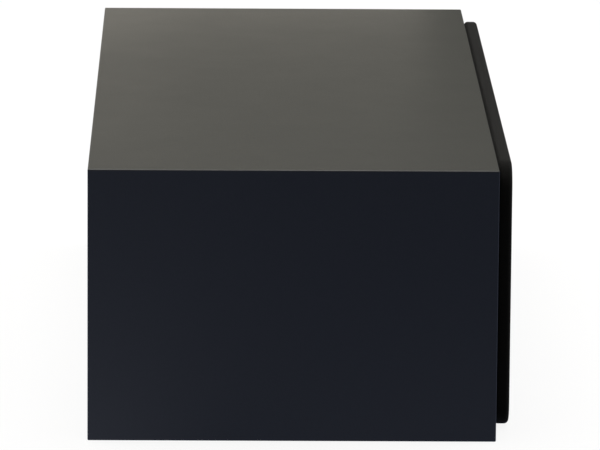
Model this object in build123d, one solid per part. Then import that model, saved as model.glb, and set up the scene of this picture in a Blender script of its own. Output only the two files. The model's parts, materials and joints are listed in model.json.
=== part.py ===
"""Centre-channel loudspeaker: a wrapped box with a pull-off cloth grille, two woofers
either side of a dome tweeter, rear bass ports and a terminal cup with binding posts.

Millimetres. +X runs along the cabinet, the grille faces -Y and +Z is up. The origin is
the middle of the cabinet's base. Left and right are as seen by a listener in front.
A driver's pieces are turned about its own axis, with h counted rearwards from the
front face of the cabinet.
"""

import os
from math import cos, pi, radians, sin, tan

from build123d import *

# ---------------------------------------------------------------- cabinet
CABINET_WIDTH = 585.0
CABINET_DEPTH = 250.0
CABINET_HEIGHT = 169.0
WALL = 15.0
BAFFLE_THICKNESS = 18.0
REAR_THICKNESS = 15.0
REAR_RECESS = 3.0
EDGE_RADIUS = 0.8
BRACE_THICKNESS = 12.0
BRACE_CLEARANCE = 4.2
BRACE_FRAME = 26.0
BRACE_CORNER = 16.0
MAT_THICKNESS = 20.0
MAT_MARGIN = 10.0

# ---------------------------------------------------------------- fits
GLUE_GAP = 0.1
SLIDE_FIT = 0.05
SEAT_GAP = 0.3

# ---------------------------------------------------------------- wood screws
SCREW_HEAD_RADIUS = 2.9
SCREW_HEAD_HEIGHT = 2.0
SCREW_HEAD_ROUND = 0.8
SCREW_SHANK_RADIUS = 1.5
SCREW_SHANK_LENGTH = 15.0
SCREW_POINT = 1.0
SCREW_SLOT_LENGTH = 3.8
SCREW_SLOT_WIDTH = 0.8
SCREW_SLOT_DEPTH = 1.1

# ---------------------------------------------------------------- woofers
WOOFER_GAP = 21.0
WOOFER_MARGIN = 2.5
WOOFER_REBATE = 4.5
FLANGE_WIDTH = 11.1
TRIM_THICKNESS = 2.0
TRIM_WIDTH = 7.5
WOOFER_SCREW_INSET = 3.7
WOOFER_SCREWS = 4
SCREW_START_ANGLE = 45.0
BASKET_WALL = 1.9
BASKET_DEPTH = 38.0
BASKET_FLOOR = 1.8
BASKET_FOOT_INSET = 5.0
BASKET_WINDOWS = 6
BASKET_WINDOW_FRONT = 4.0
BASKET_WINDOW_BACK = 3.0
BASKET_SPOKE_ANGLE = 16.0
SURROUND_WIDTH = 7.9
CONE_RIM = 2.5
CONE_DEPTH = 17.0
CONE_THICKNESS = 0.9
CONE_NECK = 3.0
DUST_CAP_RADIUS = 19.0
DUST_CAP_RISE = 7.0
SURROUND_THICKNESS = 0.6
SPIDER_INSET = 2.0
SPIDER_LIP = 4.5
SPIDER_COLLAR = 1.2
SPIDER_WAVES = 8
SPIDER_WAVE_HEIGHT = 1.2
SPIDER_THICKNESS = 0.5
SPIDER_DEPTH = 23.0
COIL_RADIUS = 13.25
FORMER_THICKNESS = 0.35
WINDING_THICKNESS = 0.7
WINDING_LENGTH = 10.0
FORMER_FRONT = 15.2
FORMER_LENGTH = 33.0
MAGNET_GAP = 0.5
MOTOR_PLATE = 5.0
MOTOR_INSET = 5.0
WOOFER_MAGNET_LIP = 4.0
WOOFER_MAGNET_BORE = 21.0
WOOFER_MAGNET_HEIGHT = 14.0
MAGNET_CHAMFER = 1.0
POLE_STEP = 0.5
POLE_VENT = 5.0

# ---------------------------------------------------------------- tweeter
TWEETER_RADIUS = 50.0
TWEETER_PLATE = 4.0
TWEETER_SCREW_CIRCLE = 44.0
TWEETER_SCREWS = 4
TWEETER_CUTOUT = 38.0
HORN_MOUTH = 37.0
HORN_THROAT = 17.2
HORN_FLOOR = 6.0
HORN_BOW = 2.2
TWEETER_SEAT = 9.0
TWEETER_BOSS = 31.0
DOME_RADIUS = 12.4
DOME_RISE = 4.4
DOME_THICKNESS = 0.4
DOME_LIP = 20.0
DOME_ROLL = 2.2
DOME_COIL_WALL = 0.35
DOME_WINDING = 3.0
DOME_FORMER_LENGTH = 5.0
TWEETER_MOTOR_RADIUS = 28.5
TWEETER_MOTOR_PLATE = 3.0
TWEETER_MAGNET_RADIUS = 30.0
TWEETER_MAGNET_BORE = 18.0
TWEETER_MAGNET_HEIGHT = 10.0

# ---------------------------------------------------------------- driver terminals
TAB_BOARD = 1.5
TAB_BOARD_WIDTH = 14.0
TAB_BOARD_LENGTH = 11.0
TAB_SPACING = 8.4
TAB_WIDTH = 4.8
TAB_THICKNESS = 0.8
TAB_LENGTH = 9.0
WOOFER_TAB_INSET = 6.4
TWEETER_TAB_RADIUS = 34.2
TWEETER_TAB_BOARD = 3.0

# ---------------------------------------------------------------- grille
GRILLE_END_INSET = 28.0
GRILLE_TOP_INSET = 1.5
GRILLE_THICKNESS = 8.8
GRILLE_GAP = 0.6
GRILLE_CORNER = 16.0
GRILLE_FRONT_ROUND = 2.8
GRILLE_BACK_ROUND = 2.2
CLOTH_THICKNESS = 0.5
CLOTH_TURN_IN = 10.0
FRAME_BAR = 13.5
RIB_WIDTH = 8.0
OUTER_RIB_MARGIN = 9.0
WINDOW_CORNER = 6.0
PEG_END_INSET = 18.5
PEG_TOP_INSET = 22.5
PEG_RADIUS = 4.0
PEG_LENGTH = 11.0
PEG_TIP = 1.0
PEG_SPIGOT_RADIUS = 2.5
PEG_SPIGOT_LENGTH = 3.5
PEG_PAD_RADIUS = 9.0
PEG_PAD_THICKNESS = 5.0
SOCKET_RADIUS = 6.0
SOCKET_DEPTH = 14.0
SOCKET_FLANGE_RADIUS = 8.0
SOCKET_FLANGE = 0.9
SOCKET_BORE_DEPTH = 12.5

# ---------------------------------------------------------------- bass ports
PORT_OFFSET = 150.0
PORT_RADIUS = 22.0
PORT_WALL = 2.0
PORT_LENGTH = 113.0
PORT_FLARE = 10.0
PORT_FLANGE_RADIUS = 38.0
PORT_NECK_RADIUS = 30.8
PORT_NECK_LENGTH = 13.0

# ---------------------------------------------------------------- terminal cup
CUP_WIDTH = 76.0
CUP_HEIGHT = 50.0
CUP_DEPTH = 28.0
CUP_CORNER = 8.0
CUP_WALL = 2.2
CUP_FLOOR = 2.5
CUP_FLANGE_MARGIN = 13.0
CUP_FLANGE_ROUND = 1.0
CUP_SCREW_INSET = 6.0

# ---------------------------------------------------------------- binding posts
POST_SPACING = 19.05
POST_RADIUS = 3.0
POST_BORE_RADIUS = 2.05
POST_BORE_DEPTH = 14.0
POST_REACH = 21.0
POST_WIRE_HOLE = 1.5
BUSH_RADIUS = 6.0
BUSH_HEIGHT = 2.5
BOARD_STANDOFF = 3.0
NUT_ACROSS_FLATS = 10.0
NUT_HEIGHT = 3.5
POST_TAIL = 2.0
CAP_RADIUS = 7.0
CAP_LENGTH = 20.0
CAP_MOUTH_RADIUS = 2.6
CAP_ROUND = 1.0
CAP_FLUTES = 12
CAP_FLUTE_RADIUS = 0.9
CAP_RING_WIDTH = 2.5
CAP_RING_FROM_END = 4.0
CAP_RING_DEPTH = 1.0

# ---------------------------------------------------------------- crossover
BOARD_MARGIN = 4.0
BOARD_HEIGHT = 84.0
BOARD_THICKNESS = 1.6
# each coil: side, inset from the board's end, height above the axis, outer radius, bore, length
COILS = ((1, 24.0, 18.0, 18.0, 8.0, 18.0), (-1, 25.0, 21.0, 14.0, 6.0, 12.0))
# each capacitor: x, height above the axis, radius, length
CAPACITORS = ((-30.0, -22.5, 8.0, 34.0), (20.0, -29.0, 6.0, 28.0), (20.0, -14.5, 6.0, 28.0))
# each resistor: side, inset from the board's end, height above the axis, width, thickness, length
RESISTORS = ((1, 12.0, -21.0, 10.0, 9.0, 32.0), (-1, 6.0, 22.0, 7.0, 7.0, 26.0))
CAPACITOR_RIM = 0.8

# ---------------------------------------------------------------- wiring
WIRE_RADIUS = 1.1
WIRE_ARC_SHARE = 0.45
WIRE_LEAD = 18.0
WIRE_EDGE_INSET = 3.5
WIRE_DROP = 8.0
WIRE_SPACING = 3.0
WIRE_SHIFT = 4.0
WIRE_FOOT = 7.0

# ---------------------------------------------------------------- places worked out
FACE_Y = -CABINET_DEPTH / 2
BAFFLE_BACK_Y = FACE_Y + BAFFLE_THICKNESS
REAR_EDGE_Y = CABINET_DEPTH / 2
REAR_FACE_Y = REAR_EDGE_Y - REAR_RECESS
REAR_INNER_Y = REAR_FACE_Y - REAR_THICKNESS
AXIS_Z = CABINET_HEIGHT / 2
INNER_WIDTH = CABINET_WIDTH - 2 * WALL
INNER_HEIGHT = CABINET_HEIGHT - 2 * WALL
GRILLE_BACK_Y = FACE_Y - GRILLE_GAP
FRAME_BACK_Y = GRILLE_BACK_Y - CLOTH_THICKNESS
WOOFER_RADIUS = INNER_HEIGHT / 2 - WOOFER_MARGIN
WOOFER_THROAT = WOOFER_RADIUS - FLANGE_WIDTH
WOOFER_SCREW_CIRCLE = WOOFER_RADIUS - WOOFER_SCREW_INSET
TRIM_INNER = WOOFER_RADIUS - TRIM_WIDTH
CONE_RADIUS = WOOFER_THROAT - SURROUND_WIDTH
BASKET_FOOT = CONE_RADIUS - BASKET_FOOT_INSET
SPIDER_RADIUS = BASKET_FOOT - SPIDER_INSET
MOTOR_RADIUS = BASKET_FOOT - MOTOR_INSET
WOOFER_MAGNET_RADIUS = MOTOR_RADIUS + WOOFER_MAGNET_LIP
WOOFER_TAB_RADIUS = WOOFER_THROAT - WOOFER_TAB_INSET
WOOFER_OFFSET = TWEETER_RADIUS + WOOFER_GAP + WOOFER_RADIUS
CUP_FLOOR_Y = REAR_EDGE_Y - CUP_DEPTH
BOARD_REAR_Y = CUP_FLOOR_Y - CUP_FLOOR - BOARD_STANDOFF
BOARD_FRONT_Y = BOARD_REAR_Y - BOARD_THICKNESS
POST_END_Y = CUP_FLOOR_Y + POST_REACH
CAP_FOOT_Y = CUP_FLOOR_Y + BUSH_HEIGHT
BASKET_INNER_FOOT = BASKET_FOOT - BASKET_WALL
GRILLE_LENGTH = CABINET_WIDTH - 2 * GRILLE_END_INSET
GRILLE_HEIGHT = CABINET_HEIGHT - 2 * GRILLE_TOP_INSET
WINDOW_HEIGHT = GRILLE_HEIGHT - 2 * (FRAME_BAR + CLOTH_THICKNESS)
BRACE_X = WOOFER_OFFSET - WOOFER_THROAT - BASKET_WALL - BRACE_CLEARANCE - BRACE_THICKNESS / 2
BOARD_WIDTH = 2 * (BRACE_X - BRACE_THICKNESS / 2 - BOARD_MARGIN)
INNER_RIB_X = (TWEETER_RADIUS + WOOFER_OFFSET - WOOFER_RADIUS) / 2
OUTER_RIB_X = WOOFER_OFFSET + WOOFER_RADIUS + OUTER_RIB_MARGIN
PEG_XS = (INNER_RIB_X, GRILLE_LENGTH / 2 - PEG_END_INSET)
PEG_DROP = GRILLE_HEIGHT / 2 - PEG_TOP_INSET
SIDES = (("left", -1), ("right", 1))
POSTS = (("positive", 1), ("negative", -1))


# ================================================================ helpers
def block(x0, x1, y0, y1, z0, z1):
    """A box between six planes."""
    size = Box(x1 - x0, y1 - y0, z1 - z0)
    return Pos((x0 + x1) / 2, (y0 + y1) / 2, (z0 + z1) / 2) * size


def rod(radius, start, end, bore=0.0):
    """A cylinder about Z from start to end, or a ring where bore is given."""
    align = (Align.CENTER, Align.CENTER, Align.MIN)
    body = Pos(0, 0, start) * Cylinder(radius, end - start, align=align)
    if bore:
        body -= Pos(0, 0, start - 1) * Cylinder(bore, end - start + 2, align=align)
    return body


def turned(*edges):
    """A solid of revolution about Z from edges that close a section in the XZ plane."""
    return revolve(make_face(Wire(list(edges))), axis=Axis.Z)


def turned_points(*points):
    """A solid of revolution about Z from a polygon of (radius, h) points."""
    corners = [(r, 0, h) for r, h in points]
    return revolve(make_face(Polyline(*corners, close=True)), axis=Axis.Z)


def facing_front(part, x, z=AXIS_Z, y=FACE_Y):
    """Stands a turned part with its h axis pointing rearwards from (x, y, z)."""
    return Pos(x, y, z) * Rot(-90, 0, 0) * part


def around(count, radius, start_angle=0.0):
    """Places evenly spaced on a circle about Z, as (x, y) pairs."""
    step = 2 * pi / count
    begin = radians(start_angle)
    return [
        (radius * cos(begin + i * step), radius * sin(begin + i * step)) for i in range(count)
    ]


def rounded_slab(width, height, y_front, y_back, corner, front_round=0.0, back_round=0.0):
    """A rounded rectangle facing the front, with its front and back rims rounded."""
    outline = Pos(0, y_back, AXIS_Z) * Rot(90, 0, 0) * RectangleRounded(width, height, corner)
    slab = extrude(outline, amount=y_back - y_front, dir=(0, -1, 0))
    if front_round:
        slab = fillet(slab.edges().group_by(Axis.Y)[0], front_round)
    if back_round:
        slab = fillet(slab.edges().group_by(Axis.Y)[-1], back_round)
    return slab


def save(name, *solids):
    """Writes one node as a STEP file."""
    shape = solids[0] if len(solids) == 1 else Compound(children=list(solids))
    export_step(shape, f"parts/{name}.step")


# ================================================================ cabinet
def cabinet_panels():
    """The four mitred walls of the wrapped box, by node name."""
    outer = block(
        -CABINET_WIDTH / 2, CABINET_WIDTH / 2, FACE_Y, REAR_EDGE_Y, 0, CABINET_HEIGHT
    )
    outer = fillet(outer.edges(), EDGE_RADIUS)
    inner = block(
        -INNER_WIDTH / 2, INNER_WIDTH / 2, FACE_Y - 1, REAR_EDGE_Y + 1, WALL, CABINET_HEIGHT - WALL
    )
    shell = outer - inner
    left, right, top, middle = -CABINET_WIDTH / 2, CABINET_WIDTH / 2, CABINET_HEIGHT, AXIS_Z
    wedges = {
        "top_panel": ((left, top), (right, top), (right - middle, middle), (left + middle, middle)),
        "bottom_panel": ((left, 0), (right, 0), (right - middle, middle), (left + middle, middle)),
        "left_end_panel": ((left, 0), (left, top), (left + middle, middle)),
        "right_end_panel": ((right, 0), (right, top), (right - middle, middle)),
    }
    panels = {}
    for name, corners in wedges.items():
        face = make_face(Polyline(*[(x, FACE_Y - 1, z) for x, z in corners], close=True))
        panels[name] = shell & extrude(face, amount=CABINET_DEPTH + 2, dir=(0, 1, 0))
    return panels


def screw_places_front():
    """(x, z) of every screw through the front baffle."""
    places = []
    for _, side in SIDES:
        for dx, dz in around(WOOFER_SCREWS, WOOFER_SCREW_CIRCLE, SCREW_START_ANGLE):
            places.append((side * WOOFER_OFFSET + dx, AXIS_Z + dz))
    for dx, dz in around(TWEETER_SCREWS, TWEETER_SCREW_CIRCLE, SCREW_START_ANGLE):
        places.append((dx, AXIS_Z + dz))
    return places


def screw_places_cup():
    """(x, z) of the screws through the terminal cup's flange."""
    dx = CUP_WIDTH / 2 + CUP_FLANGE_MARGIN - CUP_SCREW_INSET
    dz = CUP_HEIGHT / 2 + CUP_FLANGE_MARGIN - CUP_SCREW_INSET
    return [(sx * dx, AXIS_Z + sz * dz) for sx in (-1, 1) for sz in (-1, 1)]


def peg_places():
    """(x, z) of the grille pegs and of the sockets they push into."""
    heights = (AXIS_Z - PEG_DROP, AXIS_Z + PEG_DROP)
    return [(side * x, z) for x in PEG_XS for _, side in SIDES for z in heights]


def front_baffle():
    """The front board, rebated for the drivers and drilled for screws and sockets."""
    board = block(
        -INNER_WIDTH / 2, INNER_WIDTH / 2, FACE_Y, BAFFLE_BACK_Y, WALL, CABINET_HEIGHT - WALL
    )
    through = BAFFLE_THICKNESS + 1
    for _, side in SIDES:
        rebate = rod(WOOFER_RADIUS + SEAT_GAP, -1, WOOFER_REBATE)
        throat = rod(WOOFER_THROAT + BASKET_WALL + SEAT_GAP, 0, through)
        board -= facing_front(rebate + throat, side * WOOFER_OFFSET)
    rebate = rod(TWEETER_RADIUS + SEAT_GAP, -1, TWEETER_PLATE)
    board -= facing_front(rebate + rod(TWEETER_CUTOUT, 0, through), 0)
    for x, z in screw_places_front():
        board -= facing_front(rod(SCREW_SHANK_RADIUS + GLUE_GAP / 2, 0, through), x, z)
    for x, z in peg_places():
        board -= facing_front(rod(SOCKET_RADIUS + GLUE_GAP / 2, -1, SOCKET_DEPTH + GLUE_GAP), x, z)
    return board


def rear_panel():
    """The rear board, cut out for the two ports and the terminal cup."""
    board = block(
        -INNER_WIDTH / 2, INNER_WIDTH / 2, REAR_INNER_Y, REAR_FACE_Y, WALL, CABINET_HEIGHT - WALL
    )
    for _, side in SIDES:
        hole = rod(PORT_NECK_RADIUS + GLUE_GAP, -1, REAR_THICKNESS + 1)
        board -= facing_front(hole, side * PORT_OFFSET, y=REAR_INNER_Y)
    cut = 2 * (CUP_WALL + SEAT_GAP)
    board -= rounded_slab(
        CUP_WIDTH + cut, CUP_HEIGHT + cut, REAR_INNER_Y - 1, REAR_FACE_Y + 1, CUP_CORNER + cut / 2
    )
    for x, z in screw_places_cup():
        pilot = rod(SCREW_SHANK_RADIUS + GLUE_GAP / 2, -1, REAR_THICKNESS + 1)
        board -= facing_front(pilot, x, z, REAR_INNER_Y)
    return board


def brace(side):
    """A window brace that ties the baffle, the rear panel, the top and the bottom."""
    near = side * BRACE_X - BRACE_THICKNESS / 2
    far = near + BRACE_THICKNESS
    board = block(near, far, BAFFLE_BACK_Y, REAR_INNER_Y, WALL, CABINET_HEIGHT - WALL)
    window = block(
        near - 1,
        far + 1,
        BAFFLE_BACK_Y + BRACE_FRAME,
        REAR_INNER_Y - BRACE_FRAME,
        WALL + BRACE_FRAME,
        CABINET_HEIGHT - WALL - BRACE_FRAME,
    )
    return board - fillet(window.edges().filter_by(Axis.X), BRACE_CORNER)


def damping_mat(side):
    """The polyester mat glued inside an end panel."""
    wall_x = side * INNER_WIDTH / 2
    x0, x1 = sorted((wall_x, wall_x - side * MAT_THICKNESS))
    return block(
        x0,
        x1,
        BAFFLE_BACK_Y + MAT_MARGIN,
        REAR_INNER_Y - MAT_MARGIN,
        WALL + MAT_MARGIN,
        CABINET_HEIGHT - WALL - MAT_MARGIN,
    )


# ================================================================ fasteners
def wood_screw():
    """A pan-head cross-slot screw about Z, its seat at 0 and its shank along +Z."""
    head = rod(SCREW_HEAD_RADIUS, -SCREW_HEAD_HEIGHT, 0)
    head = fillet(head.edges().group_by(Axis.Z)[0], SCREW_HEAD_ROUND)
    for length, width in (
        (SCREW_SLOT_LENGTH, SCREW_SLOT_WIDTH),
        (SCREW_SLOT_WIDTH, SCREW_SLOT_LENGTH),
    ):
        head -= Pos(0, 0, -SCREW_HEAD_HEIGHT) * Box(length, width, 2 * SCREW_SLOT_DEPTH)
    shank = rod(SCREW_SHANK_RADIUS, 0, SCREW_SHANK_LENGTH)
    return head + chamfer(shank.edges().group_by(Axis.Z)[-1], SCREW_POINT)


def wood_screws():
    """Every screw that holds a driver or the terminal cup."""
    screw = wood_screw()
    made = [facing_front(screw, x, z, FACE_Y + TRIM_THICKNESS) for x, z in screw_places_front()]
    seat_y = REAR_EDGE_Y - SCREW_HEAD_HEIGHT
    made += [Pos(x, seat_y, z) * Rot(90, 0, 0) * screw for x, z in screw_places_cup()]
    return made


# ================================================================ woofer
def basket(side):
    """The pressed frame: flange, windowed cone, spider ledge, motor seat and tab lug."""
    foot_front = BASKET_DEPTH - BASKET_FLOOR
    wall = turned_points(
        (WOOFER_THROAT, TRIM_THICKNESS),
        (WOOFER_RADIUS, TRIM_THICKNESS),
        (WOOFER_RADIUS, WOOFER_REBATE),
        (WOOFER_THROAT + BASKET_WALL, WOOFER_REBATE),
        (BASKET_FOOT, foot_front),
        (BASKET_FOOT, BASKET_DEPTH),
        (COIL_RADIUS + SEAT_GAP + 2 * WINDING_THICKNESS, BASKET_DEPTH),
        (COIL_RADIUS + SEAT_GAP + 2 * WINDING_THICKNESS, foot_front),
        (BASKET_INNER_FOOT, foot_front),
    )
    step = 360 / BASKET_WINDOWS
    inside = BASKET_INNER_FOOT - 1
    window_front = WOOFER_REBATE + BASKET_WINDOW_FRONT
    window_back = foot_front - BASKET_WINDOW_BACK
    opening = make_face(
        Polyline(
            (inside, 0, window_front),
            (WOOFER_RADIUS, 0, window_front),
            (WOOFER_RADIUS, 0, window_back),
            (inside, 0, window_back),
            close=True,
        )
    )
    cutter = revolve(opening, axis=Axis.Z, revolution_arc=step - BASKET_SPOKE_ANGLE)
    for i in range(BASKET_WINDOWS):
        wall -= Rot(0, 0, i * step + BASKET_SPOKE_ANGLE / 2) * cutter
    ledge_front = SPIDER_DEPTH + SPIDER_THICKNESS
    slope = (WOOFER_THROAT - BASKET_INNER_FOOT) / (foot_front - TRIM_THICKNESS)
    ledge_reach = WOOFER_THROAT - slope * (ledge_front - TRIM_THICKNESS) + BASKET_WALL / 2
    wall += rod(
        ledge_reach, ledge_front, ledge_front + BASKET_FLOOR, SPIDER_RADIUS - SPIDER_LIP
    )
    lug_end = WOOFER_TAB_RADIUS + TAB_BOARD_LENGTH / 2
    lug = block(
        BASKET_FOOT - 3, lug_end, -TAB_BOARD_WIDTH / 2, TAB_BOARD_WIDTH / 2, foot_front, BASKET_DEPTH
    )
    for x, y in around(WOOFER_SCREWS, WOOFER_SCREW_CIRCLE, SCREW_START_ANGLE):
        wall -= Pos(x, y, 0) * rod(SCREW_SHANK_RADIUS + 2 * GLUE_GAP, 0, WOOFER_REBATE + 1)
    return wall + (lug if side < 0 else Rot(0, 0, 180) * lug)


def trim_ring():
    """The gasket ring that covers the flange and clamps the surround's outer lip."""
    ring = rod(WOOFER_RADIUS, 0, TRIM_THICKNESS, TRIM_INNER)
    for x, y in around(WOOFER_SCREWS, WOOFER_SCREW_CIRCLE, SCREW_START_ANGLE):
        ring -= Pos(x, y, -1) * Cylinder(SCREW_HEAD_RADIUS + SEAT_GAP, 4 * TRIM_THICKNESS)
    return ring


def cone_height(radius):
    """The h of the cone's front surface at a radius."""
    rim = CONE_RADIUS - CONE_RIM
    return TRIM_THICKNESS + (rim - radius) * CONE_DEPTH / (rim - COIL_RADIUS)


def cone():
    """The paper cone, with a flat rim and a collar on the voice-coil former."""
    rim = CONE_RADIUS - CONE_RIM
    neck = cone_height(COIL_RADIUS)
    return turned_points(
        (rim, TRIM_THICKNESS),
        (CONE_RADIUS, TRIM_THICKNESS),
        (CONE_RADIUS, TRIM_THICKNESS + CONE_THICKNESS),
        (rim, TRIM_THICKNESS + CONE_THICKNESS),
        (COIL_RADIUS + CONE_THICKNESS, neck + CONE_THICKNESS),
        (COIL_RADIUS + CONE_THICKNESS, neck + CONE_NECK),
        (COIL_RADIUS, neck + CONE_NECK),
        (COIL_RADIUS, neck),
    )


def cap_arc(radius, base, rise):
    """The half section of a shallow dome, from its rim at h = base to its top."""
    sphere = (radius**2 + rise**2) / (2 * rise)
    middle = radius / 2
    middle_h = base - rise + sphere - (sphere**2 - middle**2) ** 0.5
    return ThreePointArc((radius, 0, base), (middle, 0, middle_h), (0, 0, base - rise))


def domed_cap(radius, base, rise, thickness):
    """A dome of even thickness about Z, with its base ring at h = base, bulging forwards."""
    return turned(
        cap_arc(radius, base, rise),
        Line((0, 0, base - rise), (0, 0, base - rise + thickness)),
        cap_arc(radius - thickness, base, rise - thickness),
        Line((radius - thickness, 0, base), (radius, 0, base)),
    )


def dust_cap():
    """The dome over the voice coil."""
    base = cone_height(DUST_CAP_RADIUS)
    return domed_cap(DUST_CAP_RADIUS, base, DUST_CAP_RISE, CONE_THICKNESS)


def half_roll(inner_lip, roll_start, roll_end, outer_lip, seat, thickness):
    """A half-roll suspension: a lip, a half circle bulging forwards, and a lip."""
    centre = (roll_start + roll_end) / 2
    inside = (roll_end - roll_start) / 2 - thickness / 2
    outside = inside + thickness
    reach = (outside**2 - thickness**2) ** 0.5
    front = seat - thickness
    return turned(
        Line((inner_lip, 0, seat), (centre - inside, 0, seat)),
        ThreePointArc((centre - inside, 0, seat), (centre, 0, seat - inside), (centre + inside, 0, seat)),
        Line((centre + inside, 0, seat), (outer_lip, 0, seat)),
        Line((outer_lip, 0, seat), (outer_lip, 0, front)),
        Line((outer_lip, 0, front), (centre + reach, 0, front)),
        ThreePointArc((centre + reach, 0, front), (centre, 0, seat - outside), (centre - reach, 0, front)),
        Line((centre - reach, 0, front), (inner_lip, 0, front)),
        Line((inner_lip, 0, front), (inner_lip, 0, seat)),
    )


def surround():
    """The rubber half-roll between the cone's rim and the flange."""
    return half_roll(
        CONE_RADIUS - CONE_RIM,
        CONE_RADIUS,
        WOOFER_THROAT + SURROUND_THICKNESS,
        TRIM_INNER,
        TRIM_THICKNESS,
        SURROUND_THICKNESS,
    )


def spider():
    """The corrugated cloth damper between the former and the basket's ledge."""
    flat = SPIDER_RADIUS - SPIDER_LIP
    start = COIL_RADIUS + SPIDER_COLLAR
    pitch = (flat - start) / SPIDER_WAVES
    front, back = SPIDER_DEPTH, SPIDER_DEPTH + SPIDER_THICKNESS

    def waves(level):
        arcs = []
        for i in range(SPIDER_WAVES):
            a = start + i * pitch
            crest = level + (SPIDER_WAVE_HEIGHT if i % 2 else -SPIDER_WAVE_HEIGHT)
            arcs.append(ThreePointArc((a, 0, level), (a + pitch / 2, 0, crest), (a + pitch, 0, level)))
        return arcs

    return turned(
        Line((COIL_RADIUS, 0, front), (start, 0, front)),
        *waves(front),
        Line((flat, 0, front), (SPIDER_RADIUS, 0, front)),
        Line((SPIDER_RADIUS, 0, front), (SPIDER_RADIUS, 0, back)),
        Line((SPIDER_RADIUS, 0, back), (flat, 0, back)),
        *waves(back),
        Line((start, 0, back), (COIL_RADIUS, 0, back)),
        Line((COIL_RADIUS, 0, back), (COIL_RADIUS, 0, front)),
    )


def voice_coil():
    """The former and its winding, centred in the magnet gap."""
    former = rod(
        COIL_RADIUS, FORMER_FRONT, FORMER_FRONT + FORMER_LENGTH, COIL_RADIUS - FORMER_THICKNESS
    )
    middle = BASKET_DEPTH + MOTOR_PLATE / 2
    winding = rod(
        COIL_RADIUS + WINDING_THICKNESS,
        middle - WINDING_LENGTH / 2,
        middle + WINDING_LENGTH / 2,
        COIL_RADIUS,
    )
    return former, winding


def motor(radius, plate, coil_inner, coil_outer, magnet_radius, magnet_bore, magnet_height, seat, vent):
    """The top plate, ring magnet and T-yoke of a driver, stacked rearwards from seat."""
    magnet_front = seat + plate
    magnet_back = magnet_front + magnet_height
    top_plate = rod(radius, seat, magnet_front, coil_outer + MAGNET_GAP)
    magnet = rod(magnet_radius, magnet_front, magnet_back, magnet_bore)
    edge = magnet.edges().filter_by(GeomType.CIRCLE).sort_by(lambda e: -e.radius)[:2]
    magnet = chamfer(edge, MAGNET_CHAMFER)
    pole = rod(coil_inner - MAGNET_GAP, seat + POLE_STEP, magnet_back)
    yoke = rod(radius, magnet_back, magnet_back + plate) + pole
    if vent:
        yoke -= rod(vent, 0, magnet_back + plate + 1)
    return top_plate, magnet, yoke


def woofer(name, side):
    """Writes every piece of one woofer but its screws and tabs."""
    x = side * WOOFER_OFFSET
    save(f"{name}_woofer_basket", facing_front(basket(side), x))
    save(f"{name}_woofer_trim_ring", facing_front(trim_ring(), x))
    save(f"{name}_woofer_cone", facing_front(cone(), x))
    save(f"{name}_woofer_dust_cap", facing_front(dust_cap(), x))
    save(f"{name}_woofer_surround", facing_front(surround(), x))
    save(f"{name}_woofer_spider", facing_front(spider(), x))
    save(f"{name}_woofer_voice_coil", *[facing_front(p, x) for p in voice_coil()])
    top_plate, magnet, yoke = motor(
        MOTOR_RADIUS,
        MOTOR_PLATE,
        COIL_RADIUS - FORMER_THICKNESS,
        COIL_RADIUS + WINDING_THICKNESS,
        WOOFER_MAGNET_RADIUS,
        WOOFER_MAGNET_BORE,
        WOOFER_MAGNET_HEIGHT,
        BASKET_DEPTH,
        POLE_VENT,
    )
    save(f"{name}_woofer_top_plate", facing_front(top_plate, x))
    save(f"{name}_woofer_magnet", facing_front(magnet, x))
    save(f"{name}_woofer_yoke", facing_front(yoke, x))


# ================================================================ tweeter
def tweeter_faceplate():
    """The face plate with its shallow horn, and the boss that the motor bolts to."""
    lip = TWEETER_SEAT - DOME_THICKNESS
    middle = (HORN_THROAT + HORN_MOUTH) / 2
    slope = Vector(HORN_FLOOR, 0, HORN_MOUTH - HORN_THROAT).normalized()
    bend = (middle - HORN_BOW * slope.X, 0, HORN_FLOOR / 2 - HORN_BOW * slope.Z)
    plate = turned(
        Line((HORN_THROAT, 0, lip), (HORN_THROAT, 0, HORN_FLOOR)),
        ThreePointArc((HORN_THROAT, 0, HORN_FLOOR), bend, (HORN_MOUTH, 0, 0)),
        Line((HORN_MOUTH, 0, 0), (TWEETER_RADIUS, 0, 0)),
        Line((TWEETER_RADIUS, 0, 0), (TWEETER_RADIUS, 0, TWEETER_PLATE)),
        Line((TWEETER_RADIUS, 0, TWEETER_PLATE), (TWEETER_BOSS, 0, TWEETER_PLATE)),
        Line((TWEETER_BOSS, 0, TWEETER_PLATE), (TWEETER_BOSS, 0, TWEETER_SEAT)),
        Line((TWEETER_BOSS, 0, TWEETER_SEAT), (DOME_LIP + GLUE_GAP, 0, TWEETER_SEAT)),
        Line((DOME_LIP + GLUE_GAP, 0, TWEETER_SEAT), (DOME_LIP + GLUE_GAP, 0, lip)),
        Line((DOME_LIP + GLUE_GAP, 0, lip), (HORN_THROAT, 0, lip)),
    )
    for x, y in around(TWEETER_SCREWS, TWEETER_SCREW_CIRCLE, SCREW_START_ANGLE):
        plate -= Pos(x, y, 0) * rod(SCREW_SHANK_RADIUS + 2 * GLUE_GAP, -1, TWEETER_PLATE + 1)
        plate -= Pos(x, y, 0) * rod(SCREW_HEAD_RADIUS + SEAT_GAP, -1, TRIM_THICKNESS)
    return plate


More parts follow.
